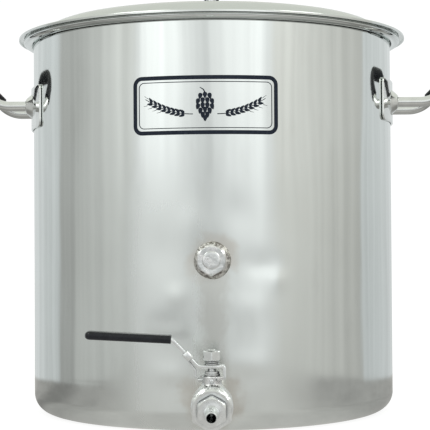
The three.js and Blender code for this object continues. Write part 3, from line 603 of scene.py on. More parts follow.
def pot():
    fine, coarse = math.radians(0.4), math.radians(1.2)
    reach = math.radians(7.6)
    turn = np.concatenate([np.arange(-reach, reach + 1e-9, fine), np.arange(reach + coarse, TAU - reach - 1e-6, coarse)])

    def heights(low, high, ports):
        out = [low]
        while out[-1] < high - 0.5:
            near = any(abs(out[-1] - p) < HOLE + 7 for p in ports)
            out.append(min(out[-1] + (1.3 if near else 3.6), high))
        return out

    walls = heights(POT_CORNER, WALL_TOP, (UPPER_AXIS, DRAIN_AXIS))
    corner = arc((POT_RADIUS - POT_CORNER, POT_CORNER), (POT_CORNER, POT_CORNER), -90, 0, 14)
    base_r = [0, 30, 60, 90, 120, 145, 160, 170, 176]
    base = [(r, 1.1 * max(1 - (r / 172) ** 2, 0) ** 1.5) for r in base_r]
    inner_r = POT_RADIUS - WALL
    inner_corner = arc((POT_RADIUS - POT_CORNER, POT_CORNER), (POT_CORNER - WALL, POT_CORNER - WALL), 0, -90, 14)
    roll = arc(BEAD, BEAD_HALF, -118, 176, 34)
    sheet = 1.25
    back_roll = arc(BEAD, (BEAD_HALF[0] - sheet, BEAD_HALF[1] - sheet), -118, 150, 26)
    tuck = [(POT_RADIUS - 0.2, BEAD[1] - 0.6)]
    outer = base + [tuple(p) for p in corner[:-1]] + [(POT_RADIUS, z) for z in walls]
    first_wall = len(base) + len(corner) - 1
    rim = tuck + [tuple(p) for p in back_roll[::-1]] + [tuple(p) for p in roll]
    inner = [(inner_r, z) for z in walls[::-1]] + [tuple(p) for p in inner_corner[1:]]
    inner += [(r, WALL + h) for r, h in base[::-1]]
    profile = np.array(outer + rim + inner)
    inner_first = len(outer) + len(rim)
    r = np.repeat(profile[:, :1], len(turn), 1)
    z = np.repeat(profile[:, 1:], len(turn), 1)
    phi = np.repeat(turn[None, :], len(profile), 0).copy()
    deleted = np.zeros((len(walls) - 1, len(turn)), bool)
    rows = list(range(first_wall, first_wall + len(walls)))
    back = list(range(inner_first + len(walls) - 1, inner_first - 1, -1))
    inside = np.zeros((len(walls), len(turn)), bool)
    for k, (i, j) in enumerate(zip(rows, back)):
        wrapped = (phi[i] + math.pi) % TAU - math.pi
        s = POT_RADIUS * wrapped
        for axis in (UPPER_AXIS, DRAIN_AXIS):
            x = POT_RADIUS * np.sin(wrapped)
            height = z[i] - axis
            away = np.hypot(x, height)
            snap = (np.abs(away - HOLE) < 0.75) & (np.abs(wrapped) < 1)
            factor = HOLE / np.maximum(away, 1e-6)
            new_phi = np.arcsin(np.clip(x * factor / POT_RADIUS, -1, 1))
            for row in (i, j):
                phi[row] = np.where(snap, new_phi, phi[row])
                z[row] = np.where(snap, axis + height * factor, z[row])
            inside[k] |= ((away < HOLE) | snap) & (np.abs(wrapped) < 1)
        s = POT_RADIUS * ((phi[i] + math.pi) % TAU - math.pi)
        dent = wall_dent(s, z[i])
        r[i] = r[i] + dent
        r[j] = r[j] + dent
    nxt = np.roll(np.arange(len(turn)), -1)
    for k in range(len(walls) - 1):
        deleted[k] = inside[k] & inside[k + 1] & inside[k][nxt] & inside[k + 1][nxt]
    verts = np.stack([r * np.sin(phi), -r * np.cos(phi), z], -1).reshape(-1, 3)
    cols = len(turn)
    faces = []
    for i in range(len(profile) - 1):
        k = rows.index(i) if i in rows[:-1] else None
        m = back.index(i + 1) if (i + 1) in back[:-1] else None
        gone = deleted[k] if k is not None else deleted[m] if m is not None else None
        for j in range(cols):
            if gone is not None and gone[j]:
                continue
            n = (j + 1) % cols
            faces.append((i * cols + j, i * cols + n, (i + 1) * cols + n, (i + 1) * cols + j))
    for k in range(len(walls) - 1):
        for j in np.nonzero(deleted[k])[0]:
            n = (j + 1) % cols
            o0, o1, b0, b1 = rows[k], rows[k + 1], back[k], back[k + 1]
            if k == 0 or not deleted[k - 1][j]:
                faces.append((o0 * cols + j, o0 * cols + n, b0 * cols + n, b0 * cols + j))
            if k == len(walls) - 2 or not deleted[k + 1][j]:
                faces.append((o1 * cols + j, o1 * cols + n, b1 * cols + n, b1 * cols + j))
            if not deleted[k][(j - 1) % cols]:
                faces.append((o0 * cols + j, o1 * cols + j, b1 * cols + j, b0 * cols + j))
            if not deleted[k][n]:
                faces.append((o0 * cols + n, o1 * cols + n, b1 * cols + n, b0 * cols + n))
    make("pot", verts, faces, SHELL, "kettle", ["kettle_shell"], 50)


def on_wall(s, z, lift):
    """Maps distance round the wall from the front, height and lift off the wall to millimetres."""
    s, z, lift = np.broadcast_arrays(np.asarray(s, float), np.asarray(z, float), np.asarray(lift, float))
    radius = POT_RADIUS + wall_dent(s, z) + lift
    return np.stack([radius * np.sin(s / POT_RADIUS), -radius * np.cos(s / POT_RADIUS), z], -1)


def badge():
    """A printed badge: a rounded frame round a hop cone between two ears of barley."""
    middle, centre_s, half_u, half_v = 320.8, -5.5, 73.0, 29.0
    lift = 0.14
    parts = []

    def band(outer, inner):
        both = np.concatenate([outer, inner])
        parts.append((on_wall(both[:, 0] + centre_s, both[:, 1] + middle, lift), grid_faces(2, len(outer))))

    def blob(points):
        p = np.asarray(points, float)
        centre = p.mean(0)
        rings = [centre + (p - centre) * t for t in (1.0, 0.5, 0.001)]
        all_points = np.concatenate(rings)
        parts.append((on_wall(all_points[:, 0] + centre_s, all_points[:, 1] + middle, lift), grid_faces(3, len(p))))

    def line(points, width):
        p = np.asarray(points, float)
        t = np.gradient(p, axis=0)
        n = np.stack([-t[:, 1], t[:, 0]], -1) / np.linalg.norm(t, axis=1)[:, None]
        w = np.asarray(width) * np.ones(len(p))
        both = np.concatenate([p + n * w[:, None] / 2, p - n * w[:, None] / 2])
        parts.append((on_wall(both[:, 0] + centre_s, both[:, 1] + middle, lift), grid_faces(2, len(p), wrap_cols=False)))

    for depth, width, corner in ((0.0, 4.0, 9.0), (6.0, 0.8, 5.5)):
        outer = rounded_rectangle(half_u - depth, half_v - depth, corner, 8, 40, 14)
        inner = rounded_rectangle(half_u - depth - width, half_v - depth - width, max(corner - width, 1), 8, 40, 14)
        band(outer, inner)

    def petal(x, y, length, width, angle):
        t = np.linspace(0, TAU, 22, endpoint=False)
        u = length / 2 * np.cos(t)
        v = width / 2 * np.sin(t) * (1 - 0.45 * np.cos(t))
        a = math.radians(angle)
        blob(np.stack([x + u * math.cos(a) - v * math.sin(a), y + u * math.sin(a) + v * math.cos(a)], -1))

    rows = [(9.5, 3), (4.6, 4), (-0.3, 4), (-5.0, 3), (-9.4, 2), (-13.2, 1)]
    for y, count in rows:
        for k in range(count):
            off = k - (count - 1) / 2
            petal(off * 4.7, y - abs(off) * 0.9, 6.2, 4.0, -90 + off * 13)
    line([(0, 12), (-1.5, 15), (-5, 17.2)], [1.3, 1.2, 0.6])
    for side in (-1, 1):
        stem = [(side * x, -9 + 0.0048 * (x - 12) ** 2 * 1.4) for x in np.linspace(12, 60, 14)]
        line(stem, np.linspace(0.9, 0.7, 14))
        for k in range(8):
            x = 21 + k * 4.6
            y = -9 + 0.0067 * (x - 12) ** 2
            slope = math.degrees(math.atan(0.0134 * (x - 12)))
            for lean in (-1, 1):
                angle = slope + lean * 27
                px = x + 2.2 * math.cos(math.radians(angle))
                py = y + 2.7 * math.sin(math.radians(angle)) + lean * 0.9
                petal(side * px, py, 6.0, 2.7, angle if side > 0 else 180 - angle)
                if k > 3:
                    start = (side * (px + 2.4), py + lean * 1.2)
                    line([start, (start[0] + side * 4.2, start[1] + lean * 2.0 + 1.0)], [0.55, 0.25])
    verts, faces = merge(*parts)
    make("wall_badge", verts, faces, INK, "kettle", (), 80)


# ---------------------------------------------------------------- lid


# The hem rides this far above the rolled bead.
LID_REST = 1.2


def crown_height(r):
    share = np.abs(r) / 195.0
    shoulder, dome = 15.9, 8.4
    return LID_HIGH[2] + LID_REST - shoulder * share ** 24 - dome * share ** 2


def lid():
    sheet = 1.2
    low, outer = float(LID_LOW[2]) + LID_REST, float(LID_HIGH[0])
    hem_top, seat = low + 2.9, low + 2.3
    step = seat - 4.0
    crown_radii = (193.6, 192.6, 191.4, 190, 188, 185.5, 182, 177, 171, 163, 150, 130, 105, 78, 50, 25, 0)
    crown = [(r, float(crown_height(r))) for r in crown_radii]
    edge = [(outer, low), (outer, hem_top), (208, seat), (198.2, seat), (196.9, step), (194.9, step), crown[0]]
    over = [tuple(p) for p in fillet(edge, [0, 1.1, 1.5, 1.2, 0.7, 0.8, 0], 5, closed=False)] + crown[1:]
    over = np.array(over)
    run = np.gradient(over, axis=0)
    normal = np.stack([run[:, 1], -run[:, 0]], -1)
    normal /= np.linalg.norm(normal, axis=1)[:, None]
    normal[-1] = (0, 1)
    under = over - normal * sheet
    under[-1][0] = 0
    profile = [tuple(p) for p in under] + [tuple(p) for p in over[::-1]]
    turned = profile[::-1]
    verts, faces = spin(turned[len(over) - 1:] + turned[:len(over) - 1], 300, upright)
    make("lid_dome", verts, faces, LID_STEEL, "lid", ["lid_shell"], 50)


# ---------------------------------------------------------------- handles

BAR_RADIUS = 5.5
GRIP_RADIUS = 8.5
BOSS_BASE, BOSS_TOP, BOSS_HEIGHT = 13.0, 7.4, 6.0
LEG = 44.0
BEND = 33.0
INCLINE = math.radians(45)


def side_corners(start, leg_z, grip_high):
    """Corner points of a side bar: its legs, the bends upward and the crosspiece."""
    cross_x = float(grip_high[0]) - GRIP_RADIUS
    cross_z = float(grip_high[2]) - GRIP_RADIUS
    bend_x = cross_x - (cross_z - leg_z)
    return [
        (start, -LEG, leg_z), (bend_x, -LEG, leg_z), (cross_x, -LEG, cross_z),
        (cross_x, LEG, cross_z), (bend_x, LEG, leg_z), (start, LEG, leg_z),
    ]


def boss_profile(base, seat):
    """The welded collar round a leg, from the plate's face up to its rounded top."""

    def profile(turn):
        foot = base(turn, BOSS_BASE) - seat
        return [
            (BAR_RADIUS, foot - 0.6), (BOSS_BASE + 0.5, foot - 0.6), (BOSS_BASE + 0.5, foot + 0.05),
            (BOSS_BASE + 0.1, foot + 0.5), (BOSS_BASE - 0.6, foot + 1.0), (BOSS_TOP + 1.3, BOSS_HEIGHT - 1.3),
            (BOSS_TOP + 0.5, BOSS_HEIGHT - 0.5),
            (BOSS_TOP - 0.4, BOSS_HEIGHT - 0.05),
            (BAR_RADIUS + 0.5, BOSS_HEIGHT),
            (BAR_RADIUS + 0.25, BOSS_HEIGHT - 0.5), (BAR_RADIUS, BOSS_HEIGHT - 0.6),
        ]

    return profile


def side_handle(side):
    sign = 1 if side == "right" else -1
    plate_low, plate_high = (np.abs(end) for end in box_mm(f"handle_bracket_{side}"))
    bar_low = np.abs(box_mm(f"handle_bar_{side}")[0])
    grip_low, grip_high = (np.abs(end) for end in box_mm(f"handle_grip_{side}"))
    face = float(max(plate_low[0], plate_high[0]))
    grip_high[0] = max(grip_low[0], grip_high[0])
    leg_z = float(bar_low[2]) + BAR_RADIUS
    middle_radius = face - 1.1
    half_v = float(plate_high[2] - plate_low[2]) / 2
    centre_z = float(plate_high[2] + plate_low[2]) / 2
    half_u = middle_radius * math.asin(float(plate_high[1]) / face)

    def turned(p):
        p = np.asarray(p, float)
        return p * (sign, sign, 1)

    def curved(u, v, h):
        radius = middle_radius + h
        return turned(np.stack([radius * np.cos(u / middle_radius), radius * np.sin(u / middle_radius), centre_z + v], -1))

    verts, faces = plate(half_u, half_v, 6, 2.2, 0.9, curved, 44, 12)
    make(f"bracket_{side}", verts, faces, POLISHED, "kettle", [f"handle_bracket_{side}"], 50)
    for end, place in ((-1, "front" if sign > 0 else "rear"), (1, "rear" if sign > 0 else "front")):
        offset = end * LEG
        seat = math.sqrt((face + 0.3) ** 2 - LEG ** 2)

        def base(turn, r, offset=offset):
            return math.sqrt(face ** 2 - (offset + r * math.sin(turn)) ** 2)

        def facing(x, y, h, offset=offset, seat=seat):
            return turned(np.stack([h + seat, offset + y, leg_z + x], -1))

        verts, faces = spin(boss_profile(base, seat), 56, facing)
        make(f"boss_{side}_{place}", verts, faces, POLISHED, "kettle", [f"handle_boss_{side}_{place}"], 28)
    corners = side_corners(197.0, leg_z, grip_high)
    path = rounded_path(corners, [BEND, 24, 24, BEND])
    verts, faces = sweep(turned(path), circle(BAR_RADIUS, 32))
    make(f"bar_{side}", verts, faces, POLISHED, "kettle", [f"handle_bar_{side}"], 50)
    setback = BEND * math.tan(INCLINE / 2) + 2
    step = np.array([math.cos(INCLINE), 0, math.sin(INCLINE)])
    first = np.array(corners[1]) + step * setback
    last = first * (1, -1, 1)
    grip_path = turned(rounded_path([first, corners[2], corners[3], last], [24, 24]))
    grip(f"grip_{side}", grip_path, "kettle", [f"handle_grip_{side}"])


def grip(name, path, body, nodes):
    """A rubber tube pushed over a bar, thicker in the middle of its ends' lips."""
    length = run_length(path)
    edge = [0, 0, 0.15, 0.45, 0.9, 1.4, 3.0]
    radii = [BAR_RADIUS + 0.1] + [GRIP_RADIUS - drop for drop in (1.2, 0.65, 0.25, 0.05, 0, 0)]
    body_s = list(np.linspace(4, length - 4, max(40, int(length / 2.2))))
    stations = edge + body_s + [length - e for e in edge[::-1]]
    sizes = radii + [GRIP_RADIUS] * len(body_s) + radii[::-1]
    stations[1] = 0.02
    stations[-2] = length - 0.02
    points = along(path, stations)
    verts, faces = sweep(points, lambda i, s: circle(sizes[i], 36), caps=False)
    make(name, verts, faces, GRIP, body, nodes, 45)


def lid_handle():
    half_length = float(TOP_PLATE_HIGH[1])
    half_width = float(TOP_PLATE_HIGH[0])
    top = float(TOP_PLATE_HIGH[2])

    def rolled(u, v, h):
        return np.stack([v, u, crown_height(u) + 0.3 + 1.1 + h], -1)

    verts, faces = plate(half_length, half_width, 6, 2.2, 0.9, rolled, 36, 12)
    make("lid_bracket", verts, faces, POLISHED, "lid", ["lid_handle_plate"], 50)
    seat = top + 0.3
    for end, place in ((-1, "front"), (1, "rear")):
        def base(turn, r, end=end):
            return float(crown_height(end * LEG + r * math.sin(turn))) + 2.5

        def above(x, y, h, end=end):
            return np.stack([x, y + end * LEG, h + seat], -1)

        verts, faces = spin(boss_profile(base, seat), 56, above)
        make(f"lid_boss_{place}", verts, faces, POLISHED, "lid", [f"lid_handle_boss_{place}"], 28)
    cross = float(TOP_BAR_HIGH[2]) - BAR_RADIUS
    corners = [(0, -LEG, top - 0.5), (0, -LEG, cross), (0, LEG, cross), (0, LEG, top - 0.5)]
    verts, faces = sweep(rounded_path(corners, [22, 22]), circle(BAR_RADIUS, 32))
    make("lid_bar", verts, faces, POLISHED, "lid", ["lid_handle_bar"], 50)
    start = float(TOP_GRIP_LOW[2])
    corners[0], corners[3] = (0, -LEG, start), (0, LEG, start)
    grip("lid_grip", rounded_path(corners, [22, 22]), "lid", ["lid_handle_grip"])


# ---------------------------------------------------------------- ports


def weld(name, axis, radius, front, nodes, seed, ripples):
    """A hand-laid bead between a coupling and the wall: overlapping ripples on a rounded fillet."""
    sides, rows = 240, 16

    def profile(turn):
        lag = ripples * turn / TAU
        uneven = 0.45 * smooth_noise(np.cos(turn) * 1.6, np.sin(turn) * 1.6, seed)
        lean = 0.9 * (1 - math.cos(turn + 0.5))
        out = []
        for k in range(rows + 1):
            t = k / rows
            ripple = ((lag + 0.32 * math.sin(math.pi * t)) % 1.0) ** 0.6
            swell = math.sin(math.pi * min(t * 1.05, 1)) ** 0.7
            width = radius + uneven * 0.7 - lean - COUPLING_RADIUS + 0.4
            r = COUPLING_RADIUS - 0.4 + width * (1 - t) ** 0.8 + 0.35 * swell * ripple
            x = r * math.cos(turn)
            wall = math.sqrt(POT_RADIUS ** 2 - x ** 2) - 0.9
            h = wall + (front + uneven * 0.5 - wall) * (t ** 0.75) + 0.3 * swell * ripple
            out.append((min(r, radius), min(h, front + 0.3)))
        out.append((COUPLING_RADIUS - 0.4, POT_RADIUS - 4))
        return out

    verts, faces = spin(profile, sides, at_port(axis))
    make(name, verts, faces, WELD, "kettle", nodes, 60)


def inner_weld(name, axis, seed):
    """The smaller bead on the inside of the wall."""

    def profile(turn):
        x = (COUPLING_RADIUS + 1) * math.cos(turn)
        wall = math.sqrt((POT_RADIUS - WALL) ** 2 - x ** 2)
        uneven = smooth_noise(np.cos(turn) * 1.5, np.sin(turn) * 1.5, seed)
        ripple = 0.25 * ((18 * turn / TAU) % 1.0) + 0.2 * uneven
        return [
            (COUPLING_RADIUS - 0.3, wall + 0.4),
            (COUPLING_RADIUS + 3.2 + ripple, wall + 0.4),
            (COUPLING_RADIUS + 2.6 + ripple, wall - 0.9),
            (COUPLING_RADIUS + 1.5, wall - 2.0),
            (COUPLING_RADIUS + 0.2, wall - 2.8 - ripple),
            (COUPLING_RADIUS - 0.3, wall - 2.9),
        ]

    verts, faces = spin(profile, 120, at_port(axis))
    make(name, verts, faces, WELD, "kettle", (), 50)


def threaded(outer, depth, pitch, back, front, bore):
    """A bored pipe with a helical thread on its outside."""
    steps = int((front - back) / (pitch / 6))
    stations = np.linspace(back, front, steps + 1)

    def profile(turn):
        out = [(bore, back)]
        for s in stations:
            wave = abs(((s / pitch - turn / TAU) % 1.0) * 2 - 1)
            end = min((front - s) / 1.2, (s - back) / 0.6, 1.0)
            out.append((outer - depth * (1 - wave) - 0.9 * (1 - end), s))
        out.append((bore, front))
        return out

    return profile


def coupling(name, axis, nodes):
    back, front = -float(COUPLING_HIGH[1]), -float(COUPLING_LOW[1])
    shape = fillet([
        (COUPLING_BORE, back), (COUPLING_RADIUS, back), (COUPLING_RADIUS, front), (COUPLING_BORE, front),
    ], [0.4, 0.5, 0.9, 0.5], 3)
    verts, faces = spin(shape, 72, at_port(axis))
    make(name, verts, faces, MACHINED, "kettle", nodes, 30)


def upper_plug():
    back, front = -float(PLUG_HIGH[1]), -float(PLUG_LOW[1])
    head_back, head_front = 216.0, front - 0.8
    across = float(PLUG_HIGH[2] - PLUG_LOW[2]) * math.sqrt(3) / 2
    pad = 8.5
    radius = hexagon(across, 0.9)
    face = across / 2 - 0.1

    def profile(turn):
        r = radius(turn)
        drop = max(r - face, 0) * 0.55
        return [
            (0, back), (9.6, back), (10.3, back + 0.8),
            (10.3, head_back - 0.4), (10.9, head_back), (r - 0.5, head_back),
            (r, head_back + 0.5), (r, head_front - 0.5 - drop),
            (r - 0.45, head_front - 0.12 - drop), (face - 0.4, head_front),
            (pad + 1.5, head_front), (pad + 0.7, head_front - 0.12),
            (pad + 0.3, head_front - 0.1), (pad - 0.1, head_front + 0.15),
            (pad - 0.5, front - 0.12), (pad - 0.9, front), (pad - 3, front), (2.5, front), (0, front),
        ]

    verts, faces = spin(profile, 144, at_port(UPPER_AXIS))
    dots = []
    for angle in (150, 30, 270):
        cx, cy = 4.1 * math.cos(math.radians(angle)), 4.1 * math.sin(math.radians(angle))
        dot = [(0, front + 0.05), (1.0, front + 0.05), (1.35, front - 0.1), (1.4, front - 0.4), (0, front - 0.4)]
        dots.append(spin(dot, 20, lambda x, y, h, cx=cx, cy=cy: at_port(UPPER_AXIS)(x + cx, y + cy, h)))
    verts, faces = merge((verts, faces), *dots)
    make("port_plug", verts, faces, CAST, "kettle", ["upper_port_plug"], 28)


# ---------------------------------------------------------------- valve


def solid(name, parts):
    """A hidden working object from several closed meshes."""
    verts, faces = merge(*parts)
    mesh = bpy.data.meshes.new(name)
    mesh.from_pydata((verts * MM).tolist(), [], faces)
    tidy = bmesh.new()
    tidy.from_mesh(mesh)
    bmesh.ops.remove_doubles(tidy, verts=tidy.verts, dist=1e-6)
    bmesh.ops.recalc_face_normals(tidy, faces=tidy.faces)
    tidy.to_mesh(mesh)
    tidy.free()
    piece = bpy.data.objects.new(name, mesh)
    bpy.context.scene.collection.objects.link(piece)
    return piece


def sector(inner, outer, low, high, start, end, steps=14):
    turn = np.radians(np.linspace(start, end, steps + 1))
    corners = [(inner, low), (outer, low), (outer, high), (inner, high)]
    rows = [np.stack([r * np.cos(turn), r * np.sin(turn) + STEM_Y, np.full(len(turn), h)], -1) for r, h in corners]
    verts = np.concatenate(rows)
    n = len(turn)
    faces = []
    for i in range(4):
        a, b = i * n, ((i + 1) % 4) * n
        faces += [(a + j, a + j + 1, b + j + 1, b + j) for j in range(n - 1)]
    faces += [(0, n, 2 * n, 3 * n), tuple(k * n + n - 1 for k in (3, 2, 1, 0))]
    return verts, faces


def valve_body():
    """One casting: hexagonal inlet collar, round barrel, stem neck and the two lever stops, blended together."""
    back, front = -float(BODY_HIGH[1]), -float(BODY_LOW[1])
    neck_top = float(BODY_HIGH[2])
    barrel = 19.8
    port = at_port(DRAIN_AXIS)
    outline = [(0, 232), (13.6, 232), (18.4, 238.6), (barrel, 242), (barrel, front), (0, front)]
    shape = fillet(outline, [0, 1, 3, 3, 1.0, 0], 4, closed=False)
    radius = hexagon(28.0, 0.8)

    def collar(turn):
        r = radius(turn)
        drop = max(r - 13.6, 0) * 0.58
        return [(0, back), (13.4, back), (r, back + drop + 0.2), (r, 233.5), (13, 236), (0, 236)]

    foot, shoulder, waist = DRAIN_AXIS + 8, DRAIN_AXIS + 15.4, DRAIN_AXIS + 20.6
    outline = [(0, foot), (13.2, foot), (13.2, shoulder), (9.25, waist), (9.25, neck_top), (0, neck_top)]
    neck = fillet(outline, [0, 0, 1, 2.5, 0.5, 0], 4, closed=False)
    parts = [
        spin(shape, 96, port), spin(collar, 96, port), spin(neck, 64, on_stem),
        sector(7, 14, neck_top - 3.4, neck_top, -68, -30), sector(7, 14, neck_top - 3.4, neck_top, 119, 146),
    ]
    casting = None
    for part in parts:
        piece = solid("casting_part", [part])
        if casting is None:
            casting = piece
            continue
        union = casting.modifiers.new("join", "BOOLEAN")
        union.operation, union.object, union.solver = "UNION", piece, "EXACT"
        applied(casting)
        bpy.data.objects.remove(piece)
    remesh = casting.modifiers.new("skin", "REMESH")
    remesh.mode, remesh.voxel_size = "VOXEL", 0.42 * MM
    blend = casting.modifiers.new("blend", "SMOOTH")
    blend.factor, blend.iterations = 0.5, 7
    applied(casting)
    way = [
        (0, back - 5), (10.6, back - 5), (10.6, 235), (7.5, 235),
        (7.5, 241.5), (14.2, 241.5), (14.2, front + 5), (0, front + 5),
    ]
    cutter = solid("cutter", [spin(way, 64, port)])
    well = [(0, DRAIN_AXIS + 10), (6.6, DRAIN_AXIS + 10), (6.6, neck_top + 5), (0, neck_top + 5)]
    bore = solid("bore", [spin(well, 48, on_stem)])
    for tool in (cutter, bore):
        cut = casting.modifiers.new("cut", "BOOLEAN")
        cut.operation, cut.object, cut.solver = "DIFFERENCE", tool, "EXACT"
        applied(casting)
        bpy.data.objects.remove(tool)
    mesh = casting.data
    mesh.polygons.foreach_set("use_smooth", np.ones(len(mesh.polygons), dtype=bool))
    mesh.set_sharp_from_angle(angle=math.radians(48))
    mesh.materials.clear()
    mesh.materials.append(CAST)
    casting.name = "valve_casting"
    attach(casting, "kettle")
    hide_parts("valve_body")


def lock_pins():
    height = float(BODY_HIGH[2]) - 3.7
    shape = [(0, 7.5), (1.8, 7.5), (1.8, 12.9), (1.65, 13.25), (1.35, 13.4), (0, 13.4)]
    left = spin(shape, 28, lambda x, y, h: np.stack([-h, x + STEM_Y, y + height], -1))
    front = spin(shape, 28, lambda x, y, h: np.stack([x, STEM_Y - h, y + height], -1))
    verts, faces = merge(left, front)
    make("lock_pins", verts, faces, MACHINED, "kettle", (), 30)


def end_cap():
    back, front = -float(CAP_HIGH[1]), -float(CAP_LOW[1])
    across = 36.0
    radius = hexagon(across, 0.8)
    face = across / 2 - 0.5

    def profile(turn):
        r = radius(turn)
        drop = max(r - face, 0) * 0.6
        return [
            (7.5, back), (13.0, back), (13.8, back + 0.6), (13.8, 275.6),
            (18.6, 275.6), (19.2, 275.9), (19.4, 276.5), (19.4, 277.8),
            (19.1, 278.3), (18.6, 278.6), (min(r, 18.4), 278.9), (r, 279.8),
            (r, front - 0.5 - drop), (r - 0.3, front - 0.25 - drop),
            (face, front), (face - 1, front), (12.2, front), (11.7, front - 0.15),
            (10.6, front - 1.2), (10.6, 277.5), (7.5, 277.5),
        ]

    verts, faces = spin(profile, 180, at_port(DRAIN_AXIS))
    make("end_cap", verts, faces, MACHINED, "kettle", ["valve_end_cap"], 26)


def hose_barb():
    back, tip = -float(BARB_HIGH[1]), -float(BARB_LOW[1])
    hex_back, hex_front, across, bore = 290.4, 305.0, 25.6, 4.15
    radius = hexagon(across, 0.7)
    face = across / 2 - 0.5
    ridges = 4
    pitch = (tip - hex_front - 2) / ridges
    stem = []
    for k in range(ridges):
        start = hex_front + 2 + k * pitch
        crest = 6.9 - 0.8 * k / (ridges - 1)
        stem += [
            (5.9, start), (crest - 0.15, start + 0.5), (crest, start + 0.75),
            (crest - 0.1, start + 1.1), (crest - 0.8, start + pitch - 0.1),
        ]
    stem[-1] = (5.3, tip - 0.45)

    def profile(turn):
        r = radius(turn)
        drop = max(r - face, 0) * 0.6
        return [
            (bore, back), (9.7, back), (10.3, back + 0.8), (10.3, hex_back),
            (face - 0.5, hex_back), (r, hex_back + 0.4 + drop), (r, hex_front - 0.5 - drop),
            (r - 0.3, hex_front - 0.25 - drop), (face, hex_front), (face - 1, hex_front),
            (7.2, hex_front), (6.3, hex_front + 0.25), (5.9, hex_front + 0.9),
            *stem, (4.9, tip - 0.02), (bore + 0.35, tip), (bore, tip - 0.4), (bore, tip - 6), (bore, back + 4),
        ]

    verts, faces = spin(profile, 132, at_port(DRAIN_AXIS))
    make("barb_fitting", verts, faces, MACHINED, "kettle", ["hose_barb"], 26)


def small_valve_parts():
    gland_low, gland_top = float(GLAND_LOW[2]), float(GLAND_HIGH[2])
    flange = float(GLAND_HIGH[0])
    shape = [
        (4.1, gland_low), (6.2, gland_low), (6.2, gland_top - 3.8),
        (flange - 0.4, gland_top - 3.8), (flange, gland_top - 3.4), (flange, gland_top - 2.4),
        (flange - 0.5, gland_top - 2.1), (flange - 0.9, gland_top - 1.7),
        (flange - 0.9, gland_top - 0.4), (flange - 1.3, gland_top), (4.6, gland_top),
        (4.1, gland_top - 0.4),
    ]
    verts, faces = spin(shape, 64, on_stem)
    make("gland_nut", verts, faces, MACHINED, "kettle", ["stem_gland"], 30)

    low, top = float(STEM_LOW[2]), float(STEM_HIGH[2])
    thread_foot = float(NUT_LOW[2]) - 3
    pitch = 1.0
    stations = np.linspace(thread_foot, top - 0.9, 66)

    def stem(turn):
        out = [
            (0, low), (2.3, low), (2.3, DRAIN_AXIS + 12.8), (6.2, DRAIN_AXIS + 12.8),
            (6.2, DRAIN_AXIS + 14.6), (4.0, DRAIN_AXIS + 14.7), (4.0, thread_foot - 0.5),
        ]
        for s in stations:
            wave = abs(((s / pitch - turn / TAU) % 1.0) * 2 - 1)
            out.append((4.0 - 0.3 * (1 - wave), s))
        return out + [(3.3, top - 0.15), (2.9, top), (1.5, top), (1.2, top - 0.35), (0, top - 0.4)]

    verts, faces = spin(stem, 36, on_stem)
    make("stem", verts, faces, MACHINED, "lever", ["valve_stem"], 40)

    low, top = float(SPRING_LOW[2]), float(SPRING_HIGH[2])
    outer = float(SPRING_HIGH[0])
    mid = (low + top) / 2
    shape = [
        (4.1, low + 0.5), (outer - 0.3, low), (outer, low + 0.25), (outer, low + 0.95),
        (outer - 0.3, low + 1.15), (outer - 1.2, mid), (outer - 0.3, top - 1.15),
        (outer, top - 0.95), (outer, top - 0.35), (outer - 0.35, top - 0.1), (4.8, top), (4.1, top - 0.2),
    ]
    verts, faces = spin(shape, 56, on_stem)
    make("spring_washers", verts, faces, MACHINED, "lever", ["stem_spring_washer"], 25)

    low, top = float(NUT_LOW[2]), float(NUT_HIGH[2])
    across = float(NUT_HIGH[0] - NUT_LOW[0])
    shape = hex_profile(across, low, top, 4.05, back_chamfer=True, face=across / 2 - 0.2)
    verts, faces = spin(shape, 96, on_stem)
    make("nut", verts, faces, MACHINED, "lever", ["stem_nut"], 26)


# ---------------------------------------------------------------- lever

PLATE_Z = DRAIN_AXIS + 36.9
FOOT_X, HEAD_X, HEAD_Z = -12.4, -36.6, DRAIN_AXIS + 62.2
TIP_X, TIP_Z = float(LEVER_LOW[0]), DRAIN_AXIS + 66.6
RAMP = math.atan2(HEAD_Z - PLATE_Z, FOOT_X - HEAD_X)


def strip_section(half_width, half_thick, edge):
    return rounded_rectangle(half_width, half_thick, edge, 3, 6, 1)


def lever():
    """A strip of steel: stop tab, plate on the stem, ramp and the flat arm inside the sleeve."""
    tab_x = float(LEVER_HIGH[0]) - 1.6
    tab_z = float(LEVER_LOW[2])
    bends = ((TIP_X, TIP_Z), (HEAD_X, HEAD_Z), (FOOT_X, PLATE_Z), (tab_x, PLATE_Z), (tab_x, tab_z))
    corners = [(x, STEM_Y, z) for x, z in bends]
    path = rounded_path(corners, [7, 6, 2.2], 8)
    total = run_length(path)
    dense = list(np.linspace(0, total - 18, 46)) + list(np.linspace(total - 17.5, total - 0.9, 34))
    dense += [total - 0.5, total - 0.2, total]
    points = along(path, dense)

    def section(i, s):
        left = total - s
        half = 7.5
        if left < 17:
            half = 5.5 + 2.0 * np.clip((left - 11.5) / 5.5, 0, 1) ** 0.8
        if left < 1.0:
            half -= 1.1 * (1 - math.sqrt(max(1 - (1 - left) ** 2, 0)))
        return strip_section(half, 1.5, 0.45)

    verts, faces = sweep(points, lambda i, s: section(i, s)[:, ::-1], up=(0, 1, 0))
    make("lever_strip", verts, faces, MACHINED, "lever", ["lever_arm"], 40)


